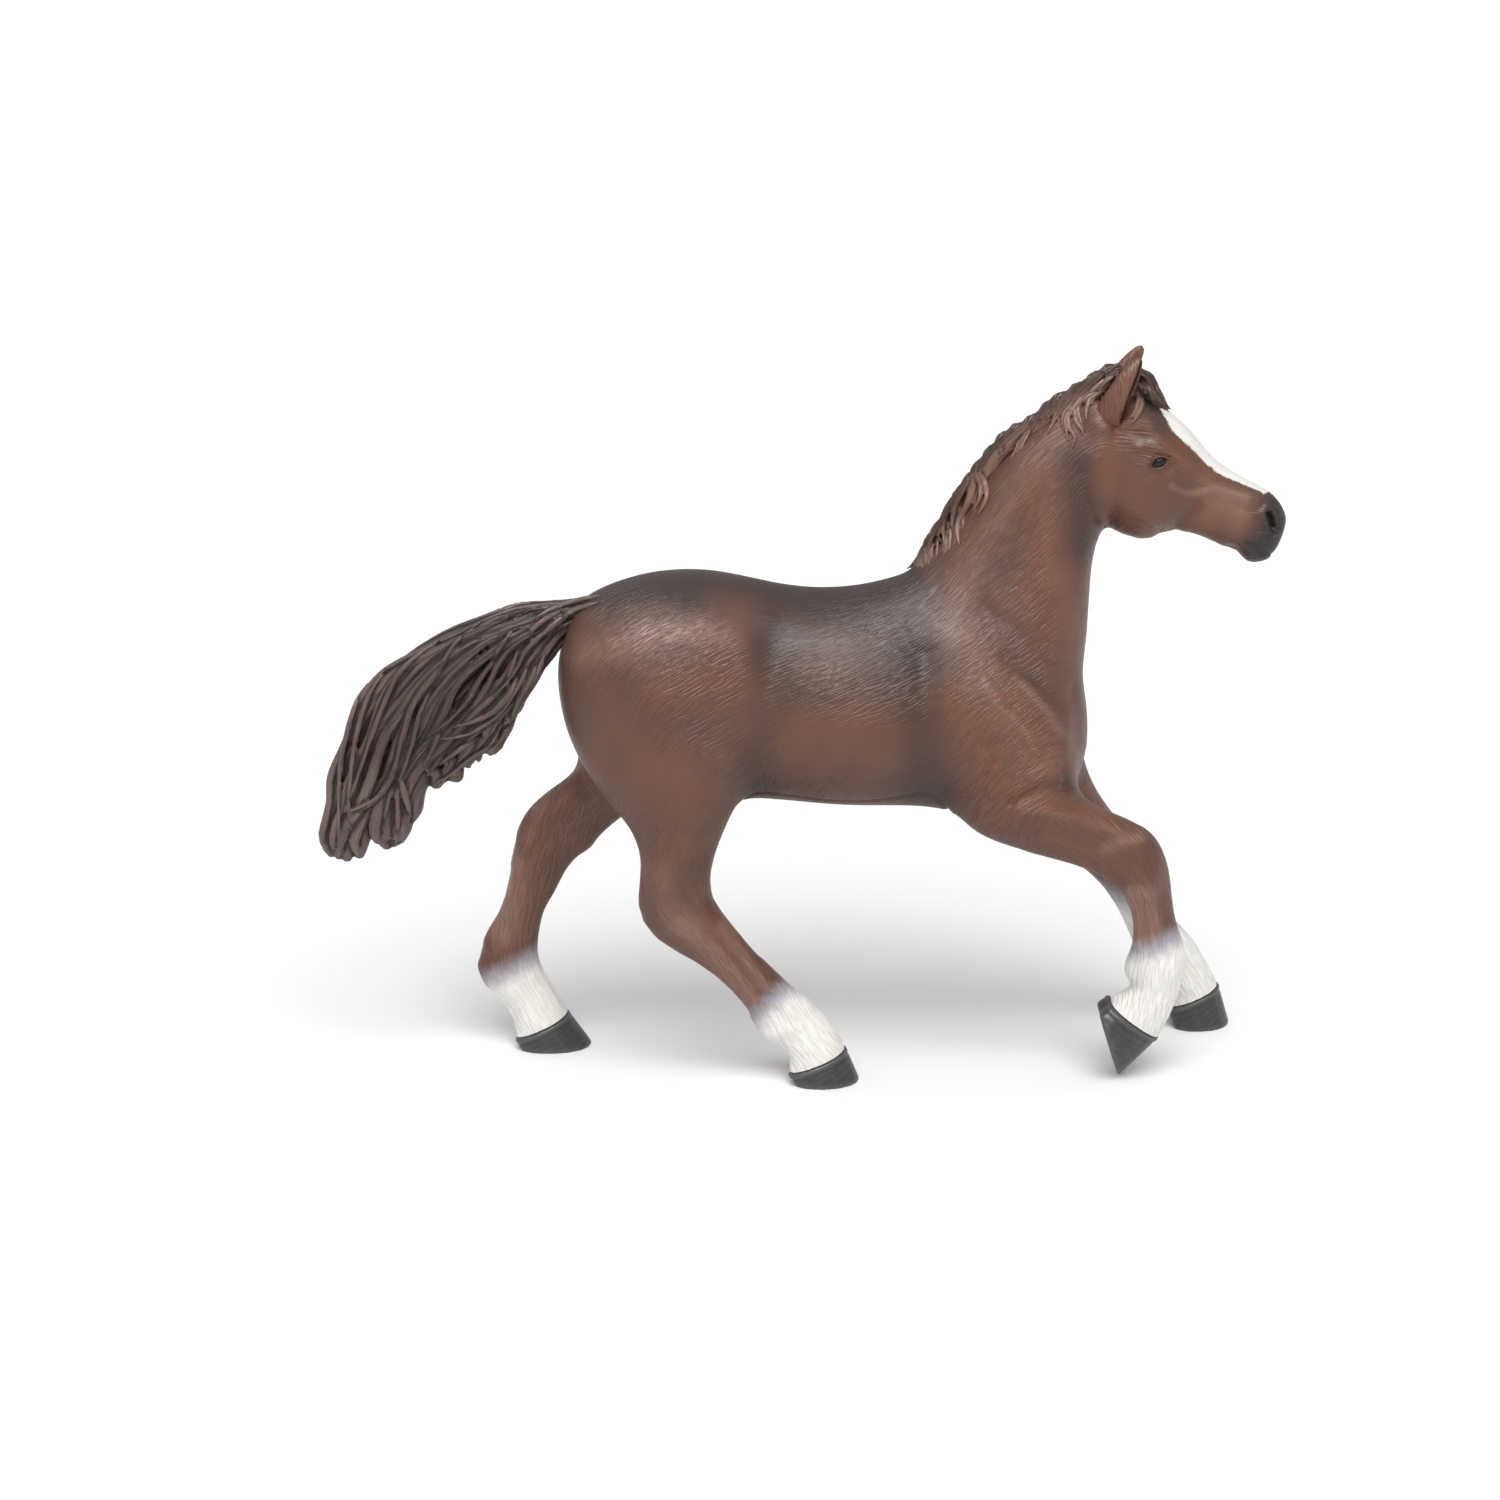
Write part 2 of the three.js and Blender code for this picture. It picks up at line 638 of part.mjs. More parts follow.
function buildTorso() {
  let torso = loft(trunkForm, trunkSides, trunkRings).add(loft(neckForm, neckSides, neckRings));
  for (const leg of Object.values(legs)) {
    const seam = legSeam(leg);
    const root = loft(seam.form, legSides, legRings).subtract(legBlock(leg, seam, 0, true));
    torso = torso.add(root);
    torso = torso.subtract(legBlock(leg, seam, 0));
    const start = seam.place.clone().addScaledVector(seam.out, seamGap);
    torso = torso.subtract(
      spigot(start, seam.out.clone().negate(), limbPegRadius, limbPegLength, pegClearance));
  }
  return torso;
}

const forwards = new THREE.Vector3(1, 0, 0);
const upwards = new THREE.Vector3(0, 0, 1);

function headBlock(gap) {
  const place = headSeamPlace().setZ(poll.z).addScaledVector(forwards, gap);
  return seamBlock(place, forwards, upwards, -bodyWidth, bodyWidth);
}

function headPeg(grow) {
  const { low, high } = sectionAt(neckForm, 1);
  const middle = low.clone().add(high).multiplyScalar(0.5);
  const place = new THREE.Vector3(headSeamPlace().x + seamGap, 0, middle.z);
  return spigot(place, forwards.clone().negate(), headPegRadius, headPegLength, grow);
}

function tailPeg(grow) {
  const { low, high } = sectionAt(tailForm, tailPegShare);
  const place = low.clone().add(high).multiplyScalar(0.5);
  return spigot(place, forwards, tailPegRadius, tailPegLength, grow);
}

function buildBody() {
  return buildTorso()
    .subtract(headBlock(0))
    .subtract(headPeg(pegClearance))
    .subtract(bellyBlock(0, plateRecess))
    .subtract(tailPeg(pegClearance));
}

function buildBellyPlate() {
  return loft(trunkForm, trunkSides, trunkRings)
    .intersect(bellyBlock(seamGap, plateRecess - seamGap));
}

// Head with its sockets for the eyes and ears
function eyePlace(side) {
  const place = headPlace(...eyePlaceShares);
  const { low, high, half } = sectionAt(headForm, eyeSectionShare);
  const middle = low.clone().add(high).multiplyScalar(0.5);
  const lift = place.distanceTo(middle) / (high.distanceTo(low) / 2);
  return place.setY(side * (half * Math.sqrt(Math.max(0, 1 - lift * lift)) - eyeSink + eyeBulge / 2));
}

function eyeBall(side, grow) {
  const ball = new THREE.SphereGeometry(1, pegSides, pegSides / 2);
  ball.scale(eyeLength + grow, eyeBulge + grow, eyeHeight + grow);
  ball.rotateY(Math.PI / 8);
  const place = eyePlace(side);
  ball.translate(place.x, place.y, place.z);
  return toSolid(ball);
}

function nostril(side) {
  const hole = new THREE.SphereGeometry(1, pegSides, pegSides / 2);
  hole.scale(nostrilLength, nostrilDepth, nostrilHeight);
  hole.rotateY(-Math.PI / 3);
  const place = headPlace(...nostrilPlaceShares);
  const { half } = sectionAt(headForm, nostrilSectionShare);
  hole.translate(place.x, side * half, place.z);
  return toSolid(hole);
}

function buildHead() {
  const whole = loft(headForm, headSides, headRings).add(loft(neckForm, neckSides, neckRings));
  let head = whole.intersect(headBlock(seamGap)).add(headPeg(0));
  for (const side of [-1, 1]) {
    head = head.subtract(eyeBall(side, pegClearance)).subtract(nostril(side)).subtract(earPeg(side, pegClearance));
  }
  return head;
}

// Ears, cupped to the front, each with a spigot into the head
const earRootShares = [-0.03, -0.19, 0.27];
const earLeanShares = [0.46, 0.1];
const earTwist = Math.PI / 7;

function earFrame(side) {
  const root = headPlace(earRootShares[0], earRootShares[1]).setY(side * earRootShares[2] * headWidth);
  const lean = new THREE.Vector3(earLeanShares[0], side * earLeanShares[1], 1).normalize();
  const facing = forwards.clone().applyAxisAngle(upwards, side * earTwist);
  const wide = lean.clone().cross(facing).normalize();
  return { root, lean, wide, deep: wide.clone().cross(lean).normalize() };
}

// Each row: height, half width, half depth and how deep the cup is.
const earShares = [
  [0, 0.55, 0.8, 0],
  [0.15, 0.75, 0.95, 0.2],
  [0.35, 1, 1, 0.8],
  [0.55, 0.95, 0.85, 1],
  [0.75, 0.65, 0.6, 0.8],
  [0.9, 0.32, 0.35, 0.3],
  [1, 0.07, 0.1, 0],
];

function earShell(side, grow) {
  const { root, lean, wide, deep } = earFrame(side);
  const rings = earShares.map(([height, half, depth, cup]) => {
    const ring = [];
    for (let s = 0; s < pegSides; s += 1) {
      const angle = (2 * Math.PI * s) / pegSides;
      const dent = cup * earHollow * Math.pow(Math.max(0, Math.cos(angle)), 2);
      const rise = height * (earLength + 2 * grow) - grow;
      const point = root.clone().addScaledVector(lean, rise);
      point.addScaledVector(wide, ((half * earWidth) / 2 + grow) * Math.sin(angle));
      const reach = ((depth * earDepth) / 2 + grow) * Math.cos(angle);
      ring.push(point.addScaledVector(deep, grow > 0 ? reach : reach - dent));
    }
    return ring;
  });
  return toSolid(skin(rings));
}

function buildEar(side) {
  const grown = loft(headForm, headSides, headRings, seamGap);
  return mainBody(earShell(side, 0).subtract(grown)).add(earPeg(side, 0));
}

function clearOfEars(solid) {
  return solid.subtract(earShell(-1, bedGap)).subtract(earShell(1, bedGap));
}

function earPeg(side, grow) {
  const { root, lean } = earFrame(side);
  const place = root.clone().addScaledVector(lean, earPegLength);
  return spigot(place, lean.clone().negate(), earPegRadius, 2 * earPegLength, grow);
}

const lockTaperPower = 2.5;
const lockTipPower = 0.8;
const lockTipShare = 0.1;
const lookAheadShare = 0.02;

// A tapered lock of hair swept along a path that gives a point and the way out of the coat.
function lock(path, steps, width, thickness) {
  const rings = [];
  for (let r = 0; r <= steps; r += 1) {
    const share = r / steps;
    const { point, out } = path(share);
    const ahead = path(Math.min(1, share + lookAheadShare)).point;
    const behind = path(Math.max(0, share - lookAheadShare)).point;
    const along = ahead.sub(behind).normalize();
    const wide = along.cross(out).normalize();
    const swell = lockTaper(share);
    const ring = [];
    for (let s = 0; s < lockSides; s += 1) {
      const angle = (2 * Math.PI * (s + 0.5)) / lockSides;
      const place = point.clone().addScaledVector(wide, (swell * width * Math.sin(angle)) / 2);
      ring.push(place.addScaledVector(out, (swell * thickness * Math.cos(angle)) / 2));
    }
    rings.push(ring);
  }
  return toSolid(skin(rings));
}

function lockTaper(share) {
  const full = Math.pow(1 - Math.pow(share, lockTaperPower), lockTipPower);
  return lockTipShare + (1 - lockTipShare) * full;
}

// A path on a form's skin, `lift` above it
function skinPath(form, at, lift) {
  return (share) => {
    const [along, angle] = at(share);
    const point = skinPoint(form, along, angle, lift);
    const out = skinPoint(form, along, angle, lift + tailLockWidth).sub(point).normalize();
    return { point, out };
  };
}

// Tail: a core of hair with locks laid round it, and a spigot into the rump
const tailLockSteps = 8;

function tailLock([turn, start, end, sway, width, hang]) {
  const at = (share) => {
    const along = start + (end - start) * share;
    const wave = sway * Math.sin(2 * Math.PI * share);
    return [along, Math.PI * (turn + wave)];
  };
  const onSkin = skinPath(tailForm, at, -tailLockThickness / 4);
  const path = (share) => {
    const { point, out } = onSkin(share);
    return { point: point.addScaledVector(upwards, -hang * tailDrop * share * share), out };
  };
  return lock(path, tailLockSteps, width * tailLockWidth, tailLockThickness);
}

function buildTail() {
  let tail = loft(tailForm, tailSides, tailRings, -tailCoreSink);
  for (const row of tailLockShares) {
    tail = tail.add(tailLock(row));
  }
  const outside = tail.subtract(loft(trunkForm, trunkSides, trunkRings, bedGap));
  return mainBody(outside).add(tailPeg(0));
}

// Mane: a band along the crest with locks that fall to both sides
const maneLockSteps = 5;
const maneBandSteps = 12;
const maneEndShare = 0.04;
const maneEndPower = 0.35;
const maneCrownPower = 5;

function maneBand() {
  const [start, end] = maneSpanShares;
  const at = (share) => [start + (end - start) * share, 0];
  const path = skinPath(neckForm, at, 0);
  const rings = [];
  for (let r = 0; r <= maneBandSteps; r += 1) {
    const share = r / maneBandSteps;
    const { point, out } = path(share);
    const ends = Math.sin(Math.PI * (maneEndShare + (1 - 2 * maneEndShare) * share));
    const swell = Math.pow(ends, maneEndPower);
    const rise = maneBandRise + maneCrownRise * Math.pow(share, maneCrownPower);
    const ring = [];
    for (let s = 0; s < 2 * lockSides; s += 1) {
      const angle = (Math.PI * s) / lockSides;
      const place = point.clone().addScaledVector(across, (swell * maneBandWidth * Math.sin(angle)) / 2);
      ring.push(place.addScaledVector(out, swell * rise * Math.cos(angle)));
    }
    rings.push(ring);
  }
  return toSolid(skin(rings));
}

function maneLock([start, side, fall, sweep, width]) {
  const at = (share) => [start + sweep * share, side * Math.PI * (maneLockRootShare + fall * share)];
  const path = skinPath(neckForm, at, maneLockThickness / 3);
  return lock(path, maneLockSteps, width * maneLockWidth, maneLockThickness);
}

function buildMane() {
  let mane = maneBand();
  for (const row of maneLockShares) {
    mane = mane.add(maneLock(row));
  }
  const grownNeck = loft(neckForm, neckSides, neckRings, bedGap);
  const grownHead = loft(headForm, headSides, headRings, bedGap);
  const grownTrunk = loft(trunkForm, trunkSides, trunkRings, bedGap);
  const clear = mane.subtract(grownNeck).subtract(grownHead).subtract(grownTrunk);
  return mainBody(clearOfEars(clear));
}

// Forelock: short locks that rise between the ears and fall on the brow
function foreLock([start, end, from, to]) {
  return (share) => {
    const along = start + (end - start) * share;
    const angle = Math.PI * (from + (to - from) * share);
    const lift = foreLockThickness / 3 + foreLockRise * Math.sin(Math.PI * share);
    const point = skinPoint(headForm, along, angle, lift);
    const out = skinPoint(headForm, along, angle, lift + foreLockThickness).sub(point).normalize();
    return { point, out };
  };
}

function buildForelock() {
  let hair = lock(foreLock(foreTuftShares), maneLockSteps, foreTuftWidth, foreTuftThickness);
  for (const row of foreLockShares) {
    hair = hair.add(lock(foreLock(row), maneLockSteps, foreLockWidth, foreLockThickness));
  }
  return mainBody(clearOfEars(hair.subtract(loft(headForm, headSides, headRings, bedGap))));
}

// Assembly
const figure = new THREE.Group();
const limbs = new THREE.Group();
figure.add(limbs);

figure.add(toMesh(buildBody(), 'body_shell', paints.coat));
figure.add(toMesh(buildBellyPlate(), 'belly_plate', paints.coat));
figure.add(toMesh(buildHead(), 'head', paints.coat));
figure.add(toMesh(buildTail(), 'tail', paints.hair));
figure.add(toMesh(buildMane(), 'mane', paints.hair));
figure.add(toMesh(buildForelock(), 'forelock', paints.hair));
for (const [name, side] of [['right', -1], ['left', 1]]) {
  figure.add(toMesh(buildEar(side), `${name}_ear`, paints.coat));
  figure.add(toMesh(eyeBall(side, 0), `${name}_eye`, paints.eye));
}
for (const [name, leg] of Object.entries(legs)) {
  limbs.add(toMesh(buildLeg(leg), name, paints.coat));
  limbs.add(toMesh(buildHoof(leg), name.replace('leg', '_hoof'), paints.hoof));
}

// The origin goes to the middle of the footprint, on the ground.
const bounds = new THREE.Box3().setFromObject(figure);
const centre = bounds.getCenter(new THREE.Vector3());
figure.position.set(-centre.x, -centre.y, -bounds.min.z);

export default figure;
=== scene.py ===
"""A moulded toy horse at a canter: one sculpted skin cut into its mouldings, with hair, hooves, eyes and paint."""
import math

import bpy
import numpy as np
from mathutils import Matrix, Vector
from mathutils.bvhtree import BVHTree


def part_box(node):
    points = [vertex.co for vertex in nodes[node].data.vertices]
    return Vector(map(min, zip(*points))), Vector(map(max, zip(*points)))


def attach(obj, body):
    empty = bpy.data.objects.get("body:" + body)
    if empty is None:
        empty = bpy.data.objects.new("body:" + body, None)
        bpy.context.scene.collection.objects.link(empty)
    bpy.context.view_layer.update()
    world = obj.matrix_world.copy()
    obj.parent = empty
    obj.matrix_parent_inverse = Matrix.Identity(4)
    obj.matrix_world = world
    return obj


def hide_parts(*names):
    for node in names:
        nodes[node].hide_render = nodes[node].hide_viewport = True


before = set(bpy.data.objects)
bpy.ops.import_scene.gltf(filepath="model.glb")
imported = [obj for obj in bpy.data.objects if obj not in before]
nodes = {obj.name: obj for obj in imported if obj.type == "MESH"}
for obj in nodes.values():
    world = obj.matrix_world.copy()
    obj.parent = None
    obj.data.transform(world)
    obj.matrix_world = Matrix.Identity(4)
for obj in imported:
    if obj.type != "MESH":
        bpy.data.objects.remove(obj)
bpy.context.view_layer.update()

MM = 0.001
BODY = "root"

# The picture's middle column and the animal's middle plane, in millimetres, found from the nearest hoof
NEAR_TOE_X = 17.62
NEAR_HOOF_Y = -12.54

low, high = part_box("right_hind_hoof")
middle_x = high.x / MM - NEAR_TOE_X
middle_y = (low.y + high.y) / 2 / MM - NEAR_HOOF_Y
middle = np.array([middle_x, middle_y, 0])

# Skin sizes in millimetres
SKIN_VOXEL = 0.42
SKIN_GROWTH = 0.25
SEAM_HALF_GAP = 0.15
SEAM_REACH = 1.5
SEAM_SNAP = 0.04
FAR = 9.0

# Smoothing: its rounds, how far each moves a point of the trunk or of a leg, and where the trunk gives way
SMOOTHING_ROUNDS = 110
TRUNK_PULL = 0.5
LEG_PULL = 0.05
LEG_TOP_Z = (32, 46)
HEAD_BACK_X = (50, 58)
HEAD_LOW_Z = (84, 92)

COAT_NODES = ["body_shell", "belly_plate", "head", "right_hindleg", "left_hindleg", "right_foreleg", "left_foreleg"]
LEG_NODES = COAT_NODES[3:]
HOOF_NODES = [name.replace("leg", "_hoof") for name in LEG_NODES]


# Meshes as arrays, in millimetres
def node_arrays(name):
    """Points and triangles of a CAD node, with its doubles merged."""
    mesh = nodes[name].data
    points = np.empty(len(mesh.vertices) * 3, np.float32)
    mesh.vertices.foreach_get("co", points)
    mesh.calc_loop_triangles()
    tris = np.empty(len(mesh.loop_triangles) * 3, np.int32)
    mesh.loop_triangles.foreach_get("vertices", tris)
    points = points.reshape(-1, 3).astype(float) / MM
    merged, index = np.unique(np.round(points, 4), axis=0, return_inverse=True)
    return merged, index.reshape(-1)[tris.reshape(-1, 3)]


def gather(index, values, count):
    """Sum of the rows of values that share an index."""
    return np.stack([np.bincount(index, values[:, k], count) for k in range(values.shape[1])], 1)


def unit(vectors):
    """Vectors at length one."""
    return vectors / np.maximum(np.linalg.norm(vectors, axis=-1, keepdims=True), 1e-9)


def face_vectors(points, tris):
    """Normals of the triangles, each twice as long as its area."""
    a, b, c = (points[tris[:, i]] for i in range(3))
    return np.cross(b - a, c - a)


def point_normals(points, tris):
    """Normals of the points, from the triangles round them by area."""
    faces = face_vectors(points, tris)
    return unit(sum(gather(tris[:, i], faces, len(points)) for i in range(3)))


def edges_of(tris):
    """Each edge once, as a pair of point indices."""
    pairs = np.concatenate([tris[:, [0, 1]], tris[:, [1, 2]], tris[:, [2, 0]]])
    return np.unique(np.sort(pairs, axis=1), axis=0)


def neighbour_mean(values, edges):
    """Mean of the values of each point's neighbours."""
    a, b = edges.T
    count = len(values)
    degree = np.bincount(edges.ravel(), minlength=count)[:, None]
    return (gather(a, values[b], count) + gather(b, values[a], count)) / np.maximum(degree, 1)


def relaxed(points, edges, amounts, rounds):
    """Points drawn towards their neighbours' middle, each by its own amount."""
    for _ in range(rounds):
        points = points + amounts * (neighbour_mean(points, edges) - points)
    return points


def smoothstep(low_edge, high_edge, values):
    """A soft rise from 0 at the low edge to 1 at the high edge."""
    share = np.clip((values - low_edge) / (high_edge - low_edge), 0, 1)
    return share * share * (3 - 2 * share)


def joined(parts):
    """Several meshes as one set of points and triangles."""
    first = np.cumsum([0] + [len(points) for points, _ in parts[:-1]])
    return (np.concatenate([points for points, _ in parts]),
            np.concatenate([tris + start for (_, tris), start in zip(parts, first)]))


def bare_mesh(name, points, faces):
    """A Blender mesh from arrays; faces have three or four corners each."""
    mesh = bpy.data.meshes.new(name)
    corners = faces.shape[1]
    mesh.vertices.add(len(points))
    mesh.vertices.foreach_set("co", np.asarray(points, np.float32).ravel())
    mesh.loops.add(faces.size)
    mesh.loops.foreach_set("vertex_index", faces.astype(np.int32).ravel())
    mesh.polygons.add(len(faces))
    mesh.polygons.foreach_set("loop_start", np.arange(0, faces.size, corners, dtype=np.int32))
    mesh.update(calc_edges=True)
    return mesh


def placed(name, data):
    """A new object in the scene."""
    obj = bpy.data.objects.new(name, data)
    bpy.context.scene.collection.objects.link(obj)
    return obj


def ring_skin(rings, first, last):
    """A closed mesh over rings of places, with a fan to a place at each end and its faces outwards."""
    count, sides = rings.shape[:2]
    points = np.concatenate([rings.reshape(-1, 3), [first, last]])
    r, s = np.meshgrid(np.arange(count - 1), np.arange(sides), indexing="ij")
    a, b = (r * sides + s).ravel(), (r * sides + (s + 1) % sides).ravel()
    s = np.arange(sides)
    after, hub, end = (s + 1) % sides, np.full(sides, count * sides), (count - 1) * sides
    rows = (a, b + sides, b), (a, a + sides, b + sides), (hub, s, after), (hub + 1, end + after, end + s)
    tris = np.concatenate([np.column_stack(row) for row in rows])
    away = points[tris[:, 0]] - points.mean(axis=0)
    if np.einsum("ij,ij->i", away, face_vectors(points, tris)).sum() < 0:
        tris = tris[:, ::-1]
    return points, tris


def tree_of(parts):
    """A search tree over several meshes together."""
    points, tris = joined([part[:2] for part in parts])
    return BVHTree.FromPolygons(points.tolist(), tris.tolist())


def fused(parts, voxel):
    """The outer skin round several overlapping closed meshes, as points and triangles."""
    obj = placed("fusing", bare_mesh("fusing", *joined(parts)))
    remesh = obj.modifiers.new("fuse", "REMESH")
    remesh.mode = "VOXEL"
    remesh.voxel_size = voxel
    mesh = obj.evaluated_get(bpy.context.evaluated_depsgraph_get()).to_mesh()
    points = np.empty(len(mesh.vertices) * 3, np.float32)
    mesh.vertices.foreach_get("co", points)
    corners = np.empty(len(mesh.loops), np.int32)
    mesh.loops.foreach_get("vertex_index", corners)
    quads = corners.reshape(-1, 4)
    obj.to_mesh_clear()
    bpy.data.objects.remove(obj)
    tris = np.concatenate([quads[:, [0, 1, 2]], quads[:, [0, 2, 3]]])
    return main_island(points.reshape(-1, 3).astype(float), tris)


def island_labels(count, edges):
    """The lowest point index in each point's island."""
    labels = np.arange(count)
    while True:
        lowest = labels.copy()
        np.minimum.at(lowest, edges[:, 0], labels[edges[:, 1]])
        np.minimum.at(lowest, edges[:, 1], labels[edges[:, 0]])
        lowest = lowest[lowest]
        if np.array_equal(lowest, labels):
            return labels
        labels = lowest


def compact(points, tris):
    """Only the points that the triangles use."""
    used, index = np.unique(tris, return_inverse=True)
    return points[used], index.reshape(tris.shape)


def main_island(points, tris):
    """The island with the most points."""
    labels = island_labels(len(points), edges_of(tris))
    names, counts = np.unique(labels, return_counts=True)
    keep = labels == names[np.argmax(counts)]
    return compact(points, tris[keep[tris[:, 0]]])


# Seams between the mouldings
def flat_end(name, towards):
    """Middle, outward normal and radius of the largest flat face of a CAD node that looks towards a direction."""
    points, tris = node_arrays(name)
    faces = face_vectors(points, tris)
    area = np.linalg.norm(faces, axis=1)
    normals = unit(faces)
    middles = points[tris].mean(axis=1)
    offset = np.einsum("ij,ij->i", normals, middles)
    facing = normals @ np.array(towards) > 0.5
    # Triangles of one plane share a key
    keys = np.round(np.column_stack([normals * 50, offset * 5]))
    _, group = np.unique(keys, axis=0, return_inverse=True)
    weights = np.bincount(group.reshape(-1), area * facing)
    member = (group.reshape(-1) == np.argmax(weights)) & facing
    centre = np.average(middles[member], axis=0, weights=area[member])
    reach = np.linalg.norm(points[tris[member]].reshape(-1, 3) - centre, axis=1).max()
    return centre, unit(faces[member].sum(axis=0)), reach


def owners_of(points, names):
    """For each point, the index of the CAD node in names that lies nearest."""
    parts = [node_arrays(name) for name in names]
    owner = np.repeat(np.arange(len(parts)), [len(tris) for _, tris in parts])
    tree = tree_of(parts)
    nearest = [tree.find_nearest(point)[2] for point in points.tolist()]
    return owner[np.array(nearest)]


def seam_field(points, owners, child, towards, inner):
    """Signed distance past a flat seam: below zero on the child's side."""
    centre, normal, reach = flat_end(child, towards)
    away = points - centre
    height = away @ normal - SEAM_HALF_GAP
    near = np.linalg.norm(away, axis=1) < reach + SEAM_REACH
    side = np.where(np.isin(owners, inner), -FAR, FAR)
    return np.where(near, height, side)


def cut(data, tris, column):
    """Splits the triangles that cross zero in one column of the point data."""
    value = data[:, column].copy()
    value[np.abs(value) < SEAM_SNAP] = 0
    sign = np.sign(value)[tris]
    crossing = [(sign[:, i] * sign[:, (i + 1) % 3]) < 0 for i in range(3)]
    pairs = np.concatenate([tris[hit][:, [i, (i + 1) % 3]] for i, hit in enumerate(crossing)])
    edges, index = np.unique(np.sort(pairs, axis=1), axis=0, return_inverse=True)
    share = (value[edges[:, 0]] / (value[edges[:, 0]] - value[edges[:, 1]]))[:, None]
    new = data[edges[:, 0]] * (1 - share) + data[edges[:, 1]] * share
    new[:, column] = 0
    at = np.full((len(tris), 3), -1)
    start = 0
    for i, hit in enumerate(crossing):
        at[hit, i] = len(data) + index.reshape(-1)[start:start + hit.sum()]
        start += hit.sum()
    data = data.copy()
    data[:, column] = value
    kept = [tris[~np.any(crossing, axis=0)]]
    for i in range(3):
        j, k = (i + 1) % 3, (i + 2) % 3
        alone = crossing[i] & crossing[k]
        a, b, c = tris[alone][:, [i, j, k]].T
        ab, ca = at[alone, i], at[alone, k]
        kept += [np.column_stack(t) for t in ((a, ab, ca), (ab, b, c), (ab, c, ca))]
        half = crossing[j] & (sign[:, i] == 0)
        a, b, c = tris[half][:, [i, j, k]].T
        bc = at[half, j]
        kept += [np.column_stack(t) for t in ((a, b, bc), (a, bc, c))]
    return np.concatenate([data, new]), np.concatenate(kept)


# From the shared frame to the picture's side view, and back
def side_view(points):
    return points - middle


def row_place(x, y, z):
    return np.array([x, y, z]) + middle


# The photograph's camera, and where its pixels fall on the animal
CAMERA_TARGET_Z = 51.4
CAMERA_DISTANCE = 750
CAMERA_ELEVATION = 15
CAMERA_LENS = 112
SENSOR_WIDTH = 36
PICTURE_SIDE = 1500
MM_PER_PIXEL = 1 / 6.22

tilt = math.radians(CAMERA_ELEVATION)
camera_target = row_place(0, 0, CAMERA_TARGET_Z)
camera_place = camera_target + CAMERA_DISTANCE * np.array([0, -math.cos(tilt), math.sin(tilt)])


def sight(u, v):
    """Direction from the camera through a pixel of the photograph."""
    scale = SENSOR_WIDTH / CAMERA_LENS / PICTURE_SIDE
    right, up = (u - PICTURE_SIDE / 2) * scale, (PICTURE_SIDE / 2 - v) * scale
    return np.array([right, math.cos(tilt) + up * math.sin(tilt), up * math.cos(tilt) - math.sin(tilt)])


def seen(u, v, y=0.0):
    """The place that shows at a pixel, at a distance y from the animal's middle plane."""
    direction = sight(u, v)
    return camera_place + direction * (y + middle_y - camera_place[1]) / direction[1]


def pixels_of(points, mirrored=True):
    """Pixels where places show. Mirrored places are first moved to the near side of the middle plane."""
    place = side_view(points)
    if mirrored:
        place[:, 1] = -np.abs(place[:, 1])
    away = place + middle - camera_place
    depth = away[:, 1] * math.cos(tilt) - away[:, 2] * math.sin(tilt)
    rise = away[:, 1] * math.sin(tilt) + away[:, 2] * math.cos(tilt)
    scale = CAMERA_LENS * PICTURE_SIDE / SENSOR_WIDTH / depth
    return np.column_stack([PICTURE_SIDE / 2 + away[:, 0] * scale, PICTURE_SIDE / 2 - rise * scale])


CURVE_STEPS = 12


def curve_through(points, count):
    """A smooth run of places through a few points, evenly spaced."""
    points = np.asarray(points, float)
    ends = np.concatenate([[2 * points[0] - points[1]], points, [2 * points[-1] - points[-2]]])
    fine = []
    for i in range(len(points) - 1):
        a, b, c, d = ends[i:i + 4]
        t = np.linspace(0, 1, CURVE_STEPS, endpoint=False)[:, None]
        fine.append(0.5 * (2 * b + (c - a) * t + (2 * a - 5 * b + 4 * c - d) * t ** 2
                           + (3 * b - a - 3 * c + d) * t ** 3))
    fine = np.concatenate(fine + [points[-1:]])
    along = np.concatenate([[0], np.cumsum(np.linalg.norm(np.diff(fine[:, :3], axis=0), axis=1))])
    even = np.linspace(0, along[-1], count)
    return np.stack([np.interp(even, along, fine[:, k]) for k in range(fine.shape[1])], 1)


def line_distance(pixels, line):
    """Distance in pixels to a run of straight lines, or to one point."""
    line = np.asarray(line, float)
    if len(line) == 1:
        return np.linalg.norm(pixels - line[0], axis=1)
    nearest = np.full(len(pixels), 1e9)
    for a, b in zip(line[:-1], line[1:]):
        along = b - a
        share = np.clip((pixels - a) @ along / (along @ along), 0, 1)[:, None]
        nearest = np.minimum(nearest, np.linalg.norm(pixels - a - share * along, axis=1))
    return nearest


def inside_depth(pixels, outline):
    """Distance in pixels to a closed outline, above zero inside it."""
    outline = np.asarray(outline, float)
    inside = np.zeros(len(pixels), bool)
    for a, b in zip(outline, np.roll(outline, -1, axis=0)):
        spans = (a[1] > pixels[:, 1]) != (b[1] > pixels[:, 1])
        run = b[1] - a[1] if b[1] != a[1] else 1e-9
        inside ^= spans & (pixels[:, 0] < (b[0] - a[0]) * (pixels[:, 1] - a[1]) / run + a[0])
    distance = line_distance(pixels, np.concatenate([outline, outline[:1]]))
    return np.where(inside, distance, -distance)


